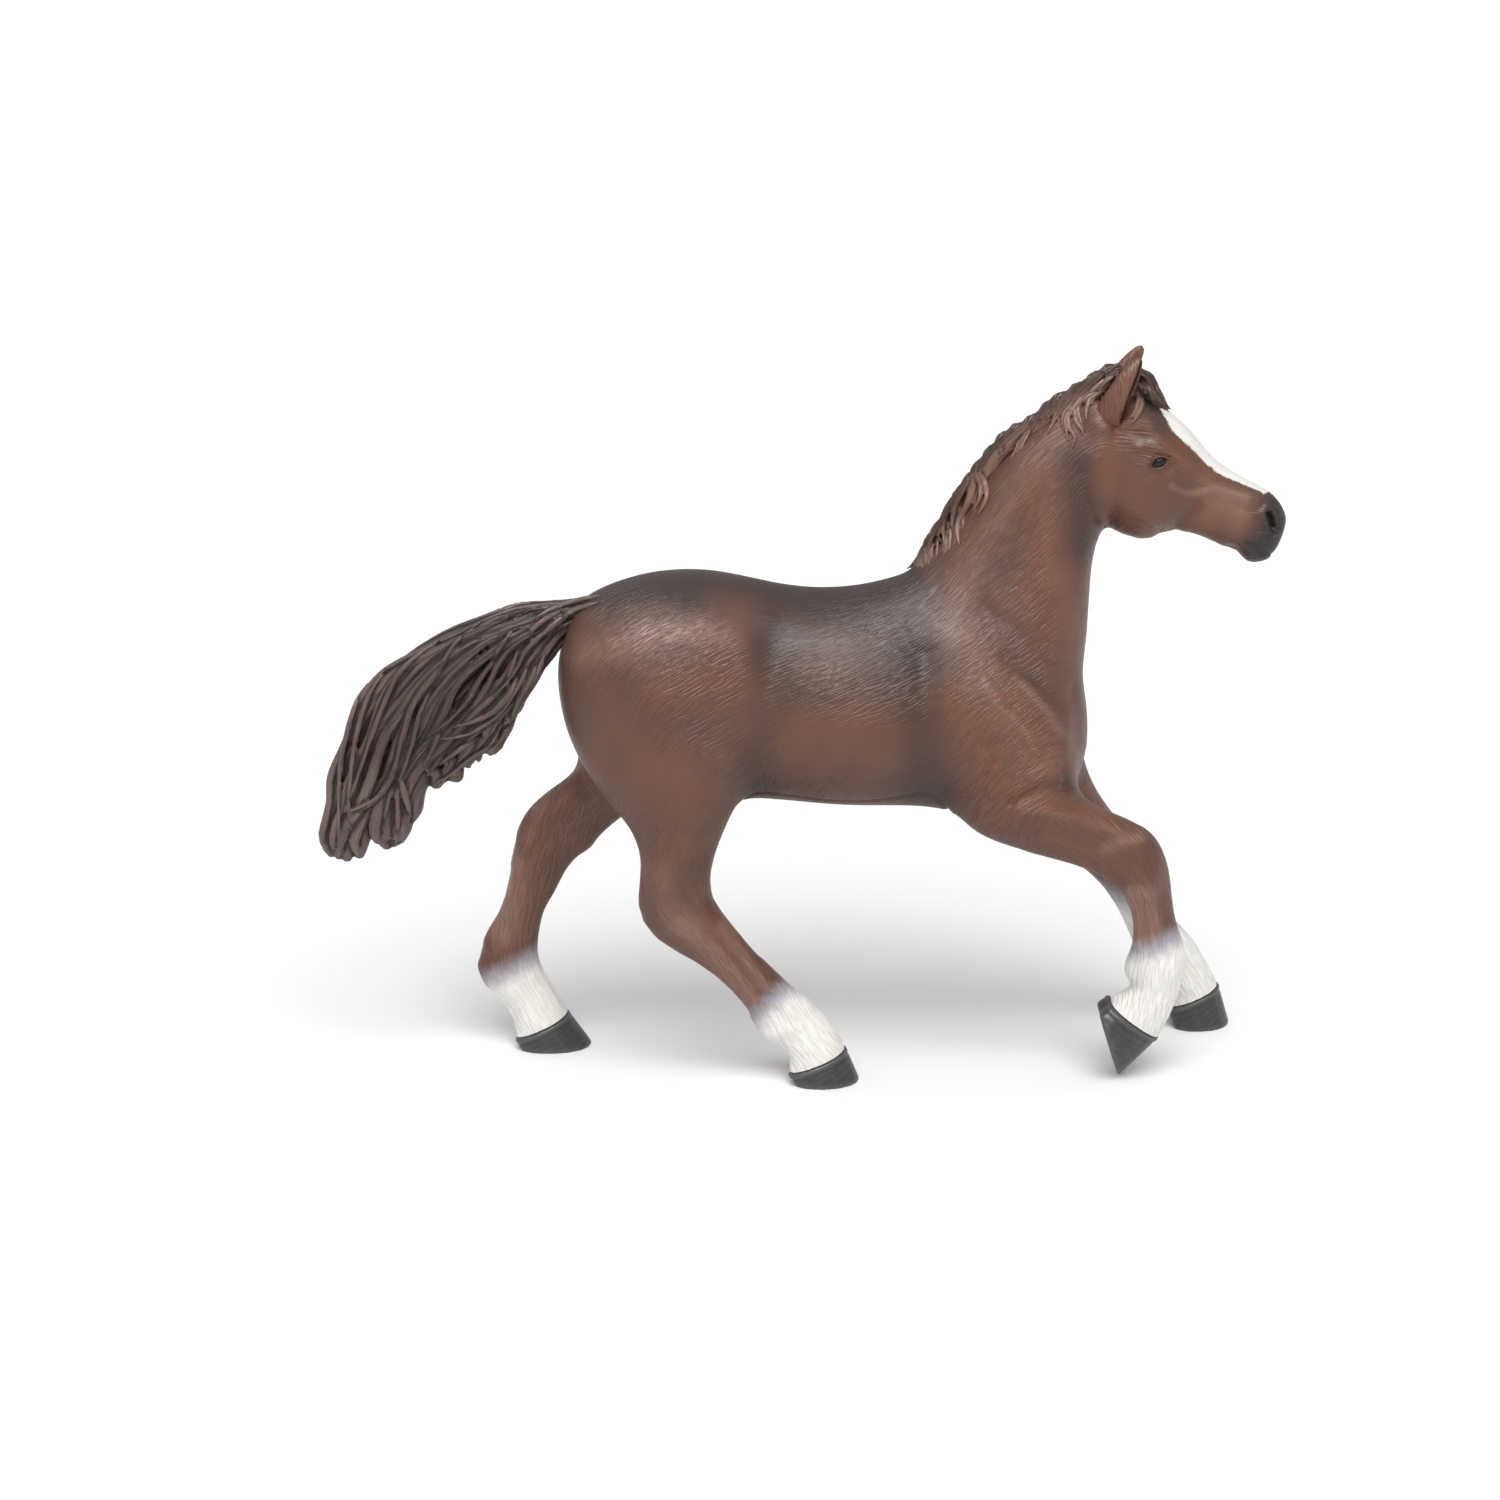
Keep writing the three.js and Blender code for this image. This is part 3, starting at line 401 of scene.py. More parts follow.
def stroke_sum(pixels, strokes):
    """Sum of soft strokes at pixels: each is a run of pixels, a width in pixels and a strength."""
    total = np.zeros(len(pixels))
    for line, width, strength in strokes:
        total += strength * np.exp(-(line_distance(pixels, line) / width) ** 2)
    return total


# The skin
def grown_node(name, growth):
    """A CAD node pushed out along its normals."""
    points, tris = node_arrays(name)
    return points + growth * point_normals(points, tris), tris


def leg_share(points):
    """0 on the trunk and neck, 1 on the legs and head, for gentler smoothing there."""
    place = side_view(points)
    legs = 1 - smoothstep(*LEG_TOP_Z, place[:, 2])
    head = smoothstep(*HEAD_BACK_X, place[:, 0]) * smoothstep(*HEAD_LOW_Z, place[:, 2])
    return np.clip(legs + head, 0, 1)


def make_skin():
    """The coat, hooves and eyes fused and smoothed. They are grown to meet, and the skin is drawn back after."""
    names = COAT_NODES + HOOF_NODES + ["right_eye", "left_eye"]
    points, tris = fused([grown_node(name, SKIN_GROWTH) for name in names], SKIN_VOXEL)
    legs = leg_share(points)[:, None]
    pulls = TRUNK_PULL * (1 - legs) + LEG_PULL * legs
    points = relaxed(points, edges_of(tris), pulls, SMOOTHING_ROUNDS)
    points -= SKIN_GROWTH * point_normals(points, tris)
    return points, tris


skin_points, skin_tris = make_skin()

# The belly plate in the side view, and the groove along its seam
PLATE_MIDDLE_X = 15.01
PLATE_HALF_LENGTH = 16.6
PLATE_HALF_WIDTH = 11.8
PLATE_CORNER = 4.5
PLATE_TOP_Z = 60
GROOVE_DEPTH = 0.40
GROOVE_WIDTH = 0.42
GROOVE_SHADE_WIDTH = 0.30


def plate_field(points):
    """Signed distance to the belly plate's seam: below zero on the plate."""
    place = side_view(points)
    along = np.maximum(np.abs(place[:, 0] - PLATE_MIDDLE_X) - PLATE_HALF_LENGTH + PLATE_CORNER, 0)
    across = np.maximum(np.abs(place[:, 1]) - PLATE_HALF_WIDTH + PLATE_CORNER, 0)
    field = np.hypot(along, across) - PLATE_CORNER
    return np.where(place[:, 2] < PLATE_TOP_Z, field, FAR)


def split_skin(points, tris):
    """The skin cut along every seam, and the moulding of each triangle."""
    names = COAT_NODES + HOOF_NODES
    owners = owners_of(points, names)
    index = {name: i for i, name in enumerate(names)}
    seams = [("belly_plate", plate_field(points))]
    seams.append(("head", seam_field(points, owners, "head", (-1, 0, 0), [index["head"]])))
    for leg, hoof in zip(LEG_NODES, HOOF_NODES):
        inner = [index[leg], index[hoof]]
        seams.append((leg, seam_field(points, owners, leg, (0, 0, 1), inner)))
        seams.append((hoof, seam_field(points, owners, hoof, (0, 0, 1), inner[1:])))
    data = np.column_stack([points] + [field for _, field in seams])
    for column in range(len(seams)):
        data, tris = cut(data, tris, 3 + column)
    labels = np.zeros(len(tris), int)
    for column, (name, _) in enumerate(seams):
        labels[data[tris, 3 + column].mean(axis=1) < 0] = index[name]
    return data[:, :3], tris, labels, index


skin_points, skin_tris, skin_labels, label_of = split_skin(skin_points, skin_tris)


def refined(points, tris, labels, marked):
    """Halves every edge of the marked triangles, and fits the triangles next to them."""
    pairs = np.stack([tris, np.roll(tris, -1, axis=1)], axis=2)
    keys = np.sort(pairs, axis=2).reshape(-1, 2)
    edges, index = np.unique(keys, axis=0, return_inverse=True)
    index = index.reshape(tris.shape)
    halved = np.zeros(len(edges), bool)
    halved[index[marked]] = True
    at = np.cumsum(halved) - 1 + len(points)
    middles = points[edges[halved]].mean(axis=1)
    hit = halved[index]
    count = hit.sum(axis=1)
    new_tris, new_labels = [tris[count == 0]], [labels[count == 0]]

    def add(mask, *rows):
        for row in rows:
            new_tris.append(np.column_stack(row))
            new_labels.append(labels[mask])

    for i in range(3):
        j, k = (i + 1) % 3, (i + 2) % 3
        one = (count == 1) & hit[:, i]
        a, b, c = tris[one][:, [i, j, k]].T
        m = at[index[one, i]]
        add(one, (a, m, c), (m, b, c))
        two = (count == 2) & hit[:, i] & hit[:, j]
        a, b, c = tris[two][:, [i, j, k]].T
        m, n = at[index[two, i]], at[index[two, j]]
        add(two, (m, b, n), (a, m, n), (a, n, c))
    full = count == 3
    a, b, c = tris[full].T
    m, n, o = (at[index[full, i]] for i in range(3))
    add(full, (a, m, o), (m, b, n), (o, n, c), (m, n, o))
    return np.concatenate([points, middles]), np.concatenate(new_tris), np.concatenate(new_labels)


# Forms seen in the photograph: runs of its pixels, width in pixels and height in millimetres
EYE = (1159.5, 462.8)
EYE_HALF_LENGTH = 7.0
EYE_HALF_HEIGHT = 4.0
EYE_TURN = math.radians(22)
SOCKET_DEPTH = 0.85
LID_HEIGHT, UPPER_LID_HEIGHT, LID_AT, LID_WIDTH = 0.20, 0.22, 1.38, 0.30
FOLD_DEPTH, FOLD_AT, FOLD_WIDTH = 0.14, 2.1, 0.28
NOSTRIL = [(1270, 514), (1272, 520), (1274, 528)]
MOUTH = [(1245, 543), (1254, 547), (1264, 551), (1271, 553)]
SHOULDER_GROOVE = [(1006, 656), (1028, 676), (1046, 690), (1061, 709)]
TRUNK_FORMS = [
    ([(743, 640), (748, 690), (742, 740), (733, 780)], 17, 0.40),
    ([(774, 645), (770, 690), (760, 739), (751, 788)], 19, -0.42),
    ([(686, 630), (728, 636)], 22, 0.30),
    ([(752, 622), (800, 610)], 22, -0.20),
    ([(575, 650), (600, 720), (640, 770)], 16, 0.25),
    ([(615, 690), (650, 760), (668, 800)], 13, -0.28),
    ([(660, 700), (690, 770), (700, 830)], 18, 0.25),
    ([(922, 655), (926, 700), (930, 750), (936, 785)], 15, -0.50),
    ([(958, 640), (968, 700), (962, 755)], 22, 0.30),
    ([(1026, 645), (1043, 661), (1054, 675)], 7, 0.28),
    (SHOULDER_GROOVE, 7, -0.42),
    ([(1022, 682), (1046, 709), (1061, 733), (1064, 750)], 8, 0.42),
    ([(1010, 700), (1034, 724), (1048, 748)], 6, -0.22),
    ([(986, 686), (1006, 713), (1026, 733), (1036, 752)], 7, 0.26),
    ([(985, 610), (1015, 632), (1045, 655)], 9, -0.32),
    ([(1079, 690), (1084, 720), (1085, 745)], 5, 0.28),
    ([(1072, 690), (1076, 720), (1076, 745)], 5, -0.22),
    ([(1066, 768), (1069, 787)], 6, -0.70),
    ([(1012, 803), (1039, 790), (1056, 787), (1068, 788)], 5, -0.60),
    ([(1000, 795), (1030, 778), (1052, 774)], 10, 0.25),
    ([(1088, 470), (1096, 500), (1108, 527)], 9, -0.60),
    ([(1074, 540), (1060, 590), (1050, 636)], 9, -0.28),
    ([(1050, 540), (1036, 590), (1020, 630)], 13, 0.22),
    ([(1000, 452), (970, 510), (930, 570)], 12, -0.15),
    ([(780, 600), (850, 622), (905, 625)], 18, -0.18),
    ([(884, 570), (898, 564)], 8, 0.30),
]
HEAD_FORMS = [
    ([(1139, 448), (1148, 445), (1157, 448), (1168, 451), (1179, 457), (1187, 464)], 4.5, 0.38),
    ([(1150, 474), (1162, 474), (1172, 466)], 4, -0.22),
    ([(1173, 487), (1184, 492), (1196, 493), (1207, 491)], 5.5, 0.34),
    ([(1172, 481), (1188, 487), (1203, 487)], 3.5, -0.18),
    ([(1174, 474), (1190, 480), (1207, 484)], 3.5, 0.16),
    ([(1214, 489), (1246, 497), (1258, 501)], 4.5, 0.28),
    ([(1212, 498), (1234, 506), (1250, 512)], 5.5, -0.26),
    ([(1199, 507), (1188, 515), (1176, 524)], 6, -0.42),
    ([(1136, 500)], 30, 0.50),
    ([(1116, 530), (1149, 536), (1172, 533)], 6, 0.22),
    ([(1180, 533), (1210, 541), (1236, 550)], 7, -0.25),
    (NOSTRIL, 3.2, -1.25),
    ([(1263, 513), (1265, 520), (1267, 527), (1272, 534)], 3.0, 0.42),
    ([(1266, 507), (1273, 508), (1278, 513)], 3.0, 0.26),
    ([(1256, 520), (1258, 530)], 4, -0.20),
    ([(1262, 541), (1272, 543)], 6, 0.28),
    (MOUTH, 2.2, -0.22),
    ([(1250, 556), (1258, 560), (1268, 557)], 7, 0.62),
    ([(1229, 549), (1235, 552)], 4.5, -0.30),
    ([(1160, 531), (1174, 533)], 5, -0.48),
    ([(1140, 536), (1148, 537)], 6, 0.22),
    ([(1098, 424), (1104, 410), (1112, 402)], 11, 0.85),
    ([(1108, 429), (1118, 424)], 7, 0.55),
    ([(1130, 432), (1142, 436)], 6, -0.30),
    ([(1092, 432), (1094, 450)], 7, -0.20),
]
LEG_FORMS = {
    "right_hindleg": [
        ([(706, 800), (694, 850)], 13, 0.30),
        ([(672, 800), (668, 850), (662, 870)], 6, -0.35),
        ([(652, 860), (645, 885), (643, 905)], 8, 0.30),
        ([(676, 878), (672, 900), (678, 915)], 8, -0.35),
        ([(690, 872), (694, 900)], 9, 0.32),
        ([(662, 930), (680, 925)], 7, 0.22),
        ([(688, 890), (704, 912), (721, 934), (738, 954), (756, 975), (768, 990)], 5, 0.34),
        ([(684, 902), (698, 921), (715, 942), (732, 962), (750, 984)], 4.5, -0.30),
        ([(702, 884), (722, 908), (742, 930), (760, 952)], 5, -0.22),
        ([(752, 1020), (762, 1033), (774, 1035), (784, 1030)], 6, 0.50),
        ([(776, 1012), (788, 1024)], 6, -0.30),
        ([(782, 1046), (786, 1058)], 5, -0.45),
        ([(806, 1000), (820, 1018)], 8, 0.30),
    ],
    "left_hindleg": [
        ([(520, 806), (515, 830)], 8, 0.28),
        ([(540, 820), (530, 850)], 7, -0.28),
        ([(560, 800), (548, 830), (540, 850)], 8, 0.25),
        ([(642, 788), (616, 818), (594, 842)], 13, 1.15),
        ([(584, 854), (568, 874), (557, 894)], 13, 0.50),
        ([(500, 870), (490, 910), (485, 940)], 5, 0.30),
        ([(509, 870), (500, 910), (495, 945)], 4.5, -0.28),
        ([(483, 965), (490, 985), (500, 995)], 7, 0.35),
        ([(505, 975), (513, 990)], 6, -0.28),
        ([(512, 1006), (514, 1020)], 5, -0.32),
        ([(530, 980), (545, 1000)], 8, 0.28),
    ],
    "right_foreleg": [
        ([(1019, 811), (1046, 814), (1079, 822), (1115, 835)], 7, 0.42),
        ([(1030, 826), (1070, 838), (1110, 850)], 7, -0.24),
        ([(1080, 800), (1110, 812), (1135, 826)], 6, -0.20),
        ([(1128, 845), (1144, 846)], 8, 0.42),
        ([(1120, 866), (1136, 872)], 6, 0.22),
        ([(1156, 868), (1154, 884)], 7, 0.30),
        ([(1140, 885), (1150, 892)], 5, -0.28),
        ([(1128, 890), (1134, 915), (1138, 940)], 4.5, 0.28),
        ([(1140, 900), (1146, 920), (1149, 945)], 4.5, -0.26),
        ([(1122, 962), (1124, 972)], 7, 0.42),
        ([(1131, 986), (1138, 990)], 5, -0.42),
        ([(1110, 994), (1118, 1000)], 6, 0.38),
        ([(1150, 965), (1160, 985)], 9, 0.30),
    ],
    "left_foreleg": [
        ([(1112, 860), (1122, 890)], 7, 0.25),
        ([(1180, 925), (1196, 945)], 6, 0.25),
        ([(1172, 935), (1184, 958)], 5, -0.25),
        ([(1178, 968), (1186, 985)], 7, 0.35),
    ],
}
HEAD_START_X = 46
FINE_REACH = 12


def eye_share(pixels):
    """Distance from the eye's middle, 1 on the rim of its almond."""
    away = pixels - np.array(EYE)
    along = away @ np.array([math.cos(EYE_TURN), -math.sin(EYE_TURN)])
    across = away @ np.array([math.sin(EYE_TURN), math.cos(EYE_TURN)])
    narrow = np.sqrt(np.clip(1 - (along / (EYE_HALF_LENGTH * 1.35)) ** 2, 0.12, 1))
    return np.hypot(along / EYE_HALF_LENGTH, across / (EYE_HALF_HEIGHT * narrow)), across


def eye_form(pixels):
    """Height of the socket, the lids and the fold above them."""
    share, across = eye_share(pixels)
    upper = 1 - smoothstep(-1.5, 1.5, across)
    socket = -SOCKET_DEPTH * np.exp(-(share / 0.95) ** 4)
    lid = (LID_HEIGHT + UPPER_LID_HEIGHT * upper) * np.exp(-((share - LID_AT) / LID_WIDTH) ** 2)
    fold = -FOLD_DEPTH * upper * np.exp(-((share - FOLD_AT) / FOLD_WIDTH) ** 2)
    return socket + lid + fold


def point_labels():
    """The moulding of each point of the skin."""
    labels = np.zeros(len(skin_points), int)
    labels[skin_tris.ravel()] = np.repeat(skin_labels, 3)
    return labels


def sculpted():
    """The skin pushed out and in along its normals to the forms in the photograph."""
    mirrored, own = pixels_of(skin_points), pixels_of(skin_points, False)
    labels = point_labels()
    side = np.abs(skin_normals[:, 1]) ** 0.5
    height = stroke_sum(mirrored, TRUNK_FORMS) * side
    head = side_view(skin_points)[:, 0] > HEAD_START_X
    height[head] += stroke_sum(mirrored[head], HEAD_FORMS) + eye_form(mirrored[head])
    trunk = labels == label_of["body_shell"]
    near = side_view(skin_points)[:, 1] < 0
    for leg, forms in LEG_FORMS.items():
        mine = (labels == label_of[leg]) | (trunk & (near == leg.startswith("right")))
        height[mine] += stroke_sum(own[mine], forms)
    belly = trunk | (labels == label_of["belly_plate"])
    height[belly] -= GROOVE_DEPTH * np.exp(-(plate_field(skin_points[belly]) / GROOVE_WIDTH) ** 2)
    for name in HOOF_NODES:
        height[labels == label_of[name]] = 0
    return skin_points + height[:, None] * skin_normals


def head_tris():
    """The head's triangles."""
    return skin_labels == label_of["head"]


def fine_tris():
    """The head's triangles round the eyes, the nostrils and the mouth."""
    pixels = pixels_of(skin_points[skin_tris].mean(axis=1))
    near = [line_distance(pixels, line) < FINE_REACH for line in ([EYE], NOSTRIL, MOUTH)]
    return np.any(near, axis=0) & head_tris()


for marked in (head_tris, fine_tris):
    skin_points, skin_tris, skin_labels = refined(skin_points, skin_tris, skin_labels, marked())
skin_normals = point_normals(skin_points, skin_tris)
smooth_tree = tree_of([(skin_points, skin_tris)])
skin_points = sculpted()
skin_normals = point_normals(skin_points, skin_tris)
skin = (skin_points, skin_tris)


def open_loops(tris):
    """Closed runs of boundary edges, in order."""
    pairs = np.concatenate([tris[:, [0, 1]], tris[:, [1, 2]], tris[:, [2, 0]]])
    keys = np.sort(pairs, axis=1)
    _, index, counts = np.unique(keys, axis=0, return_inverse=True, return_counts=True)
    border = pairs[counts[index.reshape(-1)] == 1]
    after = {int(a): int(b) for a, b in border}
    loops = []
    while after:
        start = next(iter(after))
        loop = [start]
        at = after.pop(start)
        while at != start and at in after:
            loop.append(at)
            at = after.pop(at)
        loops.append(loop)
    return loops


def capped(points, tris):
    """The mesh with each open end closed by a fan round its middle."""
    extra_points, extra_tris = [], []
    for loop in open_loops(tris):
        hub = len(points) + len(extra_points)
        extra_points.append(points[loop].mean(axis=0))
        extra_tris += [(hub, b, a) for a, b in zip(loop, loop[1:] + loop[:1])]
    if not extra_points:
        return points, tris
    return np.concatenate([points, extra_points]), np.concatenate([tris, extra_tris])


def make_piece(name, points, tris, material, replaced, normals=None, masks=None):
    """A finished piece in the row frame, riding on the body and standing for its CAD node."""
    mesh = bare_mesh(name, points * MM, tris)
    mesh.polygons.foreach_set("use_smooth", np.ones(len(tris), bool))
    for mask, values in (masks or {}).items():
        values = np.asarray(values, np.float32)
        kind, field = ("FLOAT_VECTOR", "vector") if values.ndim == 2 else ("FLOAT", "value")
        mesh.attributes.new(mask, kind, "POINT").data.foreach_set(field, values.ravel())
    if normals is not None:
        mesh.normals_split_custom_set_from_vertices(normals.tolist())
    mesh.materials.append(material)
    obj = placed(name, mesh)
    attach(obj, BODY)
    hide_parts(*replaced)


# How the coat's hair lies: runs of pixels that follow it, for the trunk and for each leg
TRUNK_HAIR = [
    [(1110, 400), (1060, 450), (1020, 490), (980, 540), (940, 590)],
    [(1090, 450), (1050, 490), (1010, 535), (970, 580), (925, 625)],
    [(1090, 540), (1050, 580), (1010, 620), (970, 660), (930, 700)],
    [(1075, 640), (1040, 675), (1000, 715), (960, 760)],
    [(1070, 720), (1030, 760), (990, 800)],
    [(930, 595), (880, 620), (830, 645), (780, 665)],
    [(920, 665), (865, 695), (800, 725)],
    [(910, 730), (860, 758), (790, 785)],
    [(790, 590), (735, 620), (680, 655), (620, 700)],
    [(770, 650), (710, 692), (650, 738)],
    [(760, 710), (705, 755), (655, 800)],
    [(670, 590), (620, 626), (570, 668)],
    [(640, 690), (600, 724), (575, 750)],
    [(730, 780), (690, 830), (670, 870)],
    [(1240, 500), (1200, 480), (1150, 440), (1110, 420)],
    [(1240, 530), (1190, 520), (1140, 490), (1100, 470)],
]
LEG_HAIR = {
    "right_hindleg": [[(690, 740), (680, 820), (668, 890), (700, 930), (750, 985), (780, 1030), (820, 1070)]],
    "left_hindleg": [[(590, 740), (545, 800), (520, 860), (500, 930), (510, 980), (550, 1030)]],
    "right_foreleg": [[(1000, 800), (1060, 825), (1120, 850), (1145, 890), (1155, 950), (1145, 1000), (1125, 1050)]],
    "left_foreleg": [[(1040, 770), (1085, 810), (1115, 860), (1150, 920), (1185, 970), (1210, 1010)]],
}
TRUNK_ROUNDING = 0.7
FLOW_STEP = 0.5
FLOW_LOW = np.array([-75.0, -5.0])
FLOW_CELLS = (340, 260)
FLOW_FOCUS = 3
FLOW_BLUR = 4
TRUNK_SIDE_Y = -12
LEG_MIDDLE_Y = {"right_hindleg": -12, "left_hindleg": 6, "right_foreleg": -14, "left_foreleg": 16}


def hair_directions(lines, y):
    """Direction of the hair over a grid in the side view, from the runs of pixels near each cell."""
    cells = np.meshgrid(*(np.arange(n) for n in FLOW_CELLS), indexing="ij")
    grid = np.stack(cells, axis=2) * FLOW_STEP + FLOW_LOW
    total = np.zeros(grid.shape)
    for line in lines:
        places = side_view(np.array([seen(u, v, y) for u, v in line]))[:, [0, 2]]
        run = curve_through(places, 5 * len(places))
        for spot, along in zip((run[:-1] + run[1:]) / 2, unit(np.diff(run, axis=0))):
            away = np.sum((grid - spot) ** 2, axis=2) + FLOW_BLUR
            total += along / away[..., None] ** (FLOW_FOCUS / 2 + 0.5)
    return unit(total)


def potential(slopes):
    """The smooth sheet over the grid whose slopes come closest to the slopes given."""
    dx = np.pad((slopes[1:, :, 0] + slopes[:-1, :, 0]) / 2, ((1, 1), (0, 0)))
    dz = np.pad((slopes[:, 1:, 1] + slopes[:, :-1, 1]) / 2, ((0, 0), (1, 1)))
    source = np.diff(dx, axis=0) + np.diff(dz, axis=1)
    mirrored = np.block([[source, source[:, ::-1]], [source[::-1], source[::-1, ::-1]]])
    rows, columns = (2 * np.cos(2 * math.pi * np.arange(n) / n) - 2 for n in mirrored.shape)
    waves = rows[:, None] + columns
    waves[0, 0] = 1
    sheet = np.fft.ifft2(np.fft.fft2(mirrored) / waves).real
    return sheet[:FLOW_CELLS[0], :FLOW_CELLS[1]] * FLOW_STEP


def sampled(sheet, places):
    """Values of a sheet at places in the side view."""
    at = np.clip((places - FLOW_LOW) / FLOW_STEP, 0, np.array(FLOW_CELLS) - 1.001)
    i, j = at.astype(int).T
    a, b = (at - np.floor(at)).T
    return ((sheet[i, j] * (1 - a) + sheet[i + 1, j] * a) * (1 - b)
            + (sheet[i, j + 1] * (1 - a) + sheet[i + 1, j + 1] * a) * b)


def hair_flow(lines, y, points, rounding=0.0):
    """Along the hair, across it and round the animal, and across the animal, for points of the skin."""
    along = hair_directions(lines, y)
    across = np.stack([-along[..., 1], along[..., 0]], axis=2)
    place = side_view(points)
    lengthways, crossways = (sampled(potential(slopes), place[:, [0, 2]]) for slopes in (along, across))
    return np.column_stack([lengthways, crossways + rounding * np.abs(place[:, 1]), place[:, 1]])


# Paint: outlines in pixels of the photograph, and strokes with a width in pixels and a strength
SOCKS = {
    "right_hindleg": [(798, 976), (783, 988), (769, 1001), (752, 1018), (735, 1050), (780, 1120), (890, 1120),
                      (890, 1000), (840, 960)],
    "left_hindleg": [(465, 992), (488, 978), (515, 966), (545, 948), (610, 960), (630, 1080), (500, 1085),
                     (470, 1010)],
    "right_foreleg": [(1080, 952), (1125, 950), (1150, 948), (1168, 938), (1200, 926), (1230, 1000), (1190, 1110),
                      (1070, 1110)],
    "left_foreleg": [(1080, 880), (1120, 896), (1150, 905), (1185, 915), (1240, 950), (1270, 1050), (1150, 1060),
                     (1090, 960)],
}
BLAZE = [(1154, 398), (1161, 411), (1170, 428), (1179, 438), (1189, 446), (1198, 456), (1208, 466), (1218, 473),
         (1234, 481), (1251, 488), (1264, 494), (1272, 490), (1285, 465), (1240, 425), (1200, 395), (1172, 385)]
MUZZLE = [(1266, 480), (1262, 498), (1260, 515), (1250, 530), (1240, 542), (1236, 575), (1310, 580), (1310, 480)]
# Dark airbrushed paint along the back, the topline and the crest, and painted shade in the flank fold, the shoulder
# groove, the elbow crease, under the belly, in the throat and beneath the forelock
DARK_PAINT_AND_SHADE = [
    ([(590, 586), (640, 576), (700, 568), (760, 578), (830, 590), (900, 584)], 18, 1.3),
    ([(610, 600), (680, 590)], 26, 0.75),
    ([(815, 604), (860, 610), (925, 600)], 27, 0.95),
    ([(690, 602), (770, 606)], 20, 0.48),
    ([(780, 640), (850, 650), (920, 650)], 30, 0.60),
    ([(800, 695), (880, 690)], 20, 0.50),
    ([(915, 660), (918, 700), (922, 750), (930, 795)], 30, 0.70),
    ([(770, 792), (830, 796), (900, 797), (940, 798)], 26, 0.50),
    ([(772, 640), (768, 690), (764, 730), (755, 785)], 28, 0.44),
    ([(750, 760), (752, 788)], 15, 0.22),
    ([(905, 578), (960, 490), (1010, 430), (1060, 395)], 15, 0.60),
    ([(1076, 462), (1082, 505), (1084, 545)], 20, 0.85),
    ([(1082, 560), (1085, 640), (1078, 700)], 14, 0.14),
    ([(1030, 560), (1045, 600), (1064, 640)], 14, 0.14),
    (SHOULDER_GROOVE, 7, 0.35),
    ([(680, 870), (682, 910)], 14, 0.22),
    ([(652, 880), (654, 925)], 12, 0.32),
    ([(700, 850), (690, 890)], 16, 0.25),
    ([(1064, 775), (1069, 787)], 7, 0.80),
    ([(1150, 440), (1158, 430), (1168, 436)], 10, 0.20),
    ([(1199, 507), (1176, 524)], 8, 0.40),
    ([(1130, 396), (1138, 402), (1150, 400), (1162, 408), (1172, 416)], 8, 1.0),
    ([(1024, 488), (1030, 530)], 15, 0.25),
    ([(1143, 410), (1153, 418), (1160, 430)], 8, 0.55),
    ([(565, 640), (562, 690), (580, 730)], 22, 0.40),
    ([(1150, 845), (1158, 880)], 10, 0.30),
    ([(600, 790), (560, 830)], 12, 0.30),
    ([(1255, 512), (1250, 535), (1242, 550)], 9, 0.35),
]
WARM_PAINT = [
    ([(712, 603), (755, 603)], 15, 0.55),
    ([(800, 728), (880, 722)], 28, 0.45),
    ([(655, 690), (728, 686)], 26, 0.75),
    ([(650, 760), (690, 800)], 30, 0.40),
    ([(950, 700), (980, 750), (1010, 790)], 30, 0.95),
    ([(1030, 600), (1060, 640)], 24, 0.60),
    ([(1034, 480), (1040, 520), (1045, 570)], 24, 1.1),
    ([(1010, 700), (1050, 760)], 22, 0.95),
    ([(1120, 430), (1105, 480)], 14, 0.75),
    ([(1130, 500), (1150, 520)], 18, 0.60),
    ([(1208, 516), (1222, 502), (1240, 518)], 16, 1.30),
    ([(1148, 424), (1162, 438)], 9, 0.60),
    ([(1172, 452), (1205, 476)], 12, 0.95),
    ([(1040, 803), (1090, 812), (1135, 838)], 12, 0.85),
    ([(1060, 845), (1110, 868)], 16, 0.60),
    ([(700, 930), (740, 975)], 18, 0.70),
    ([(520, 880), (510, 940)], 18, 0.70),
    ([(590, 770), (570, 800)], 16, 0.60),
    ([(1140, 880), (1150, 930)], 14, 0.60),
]
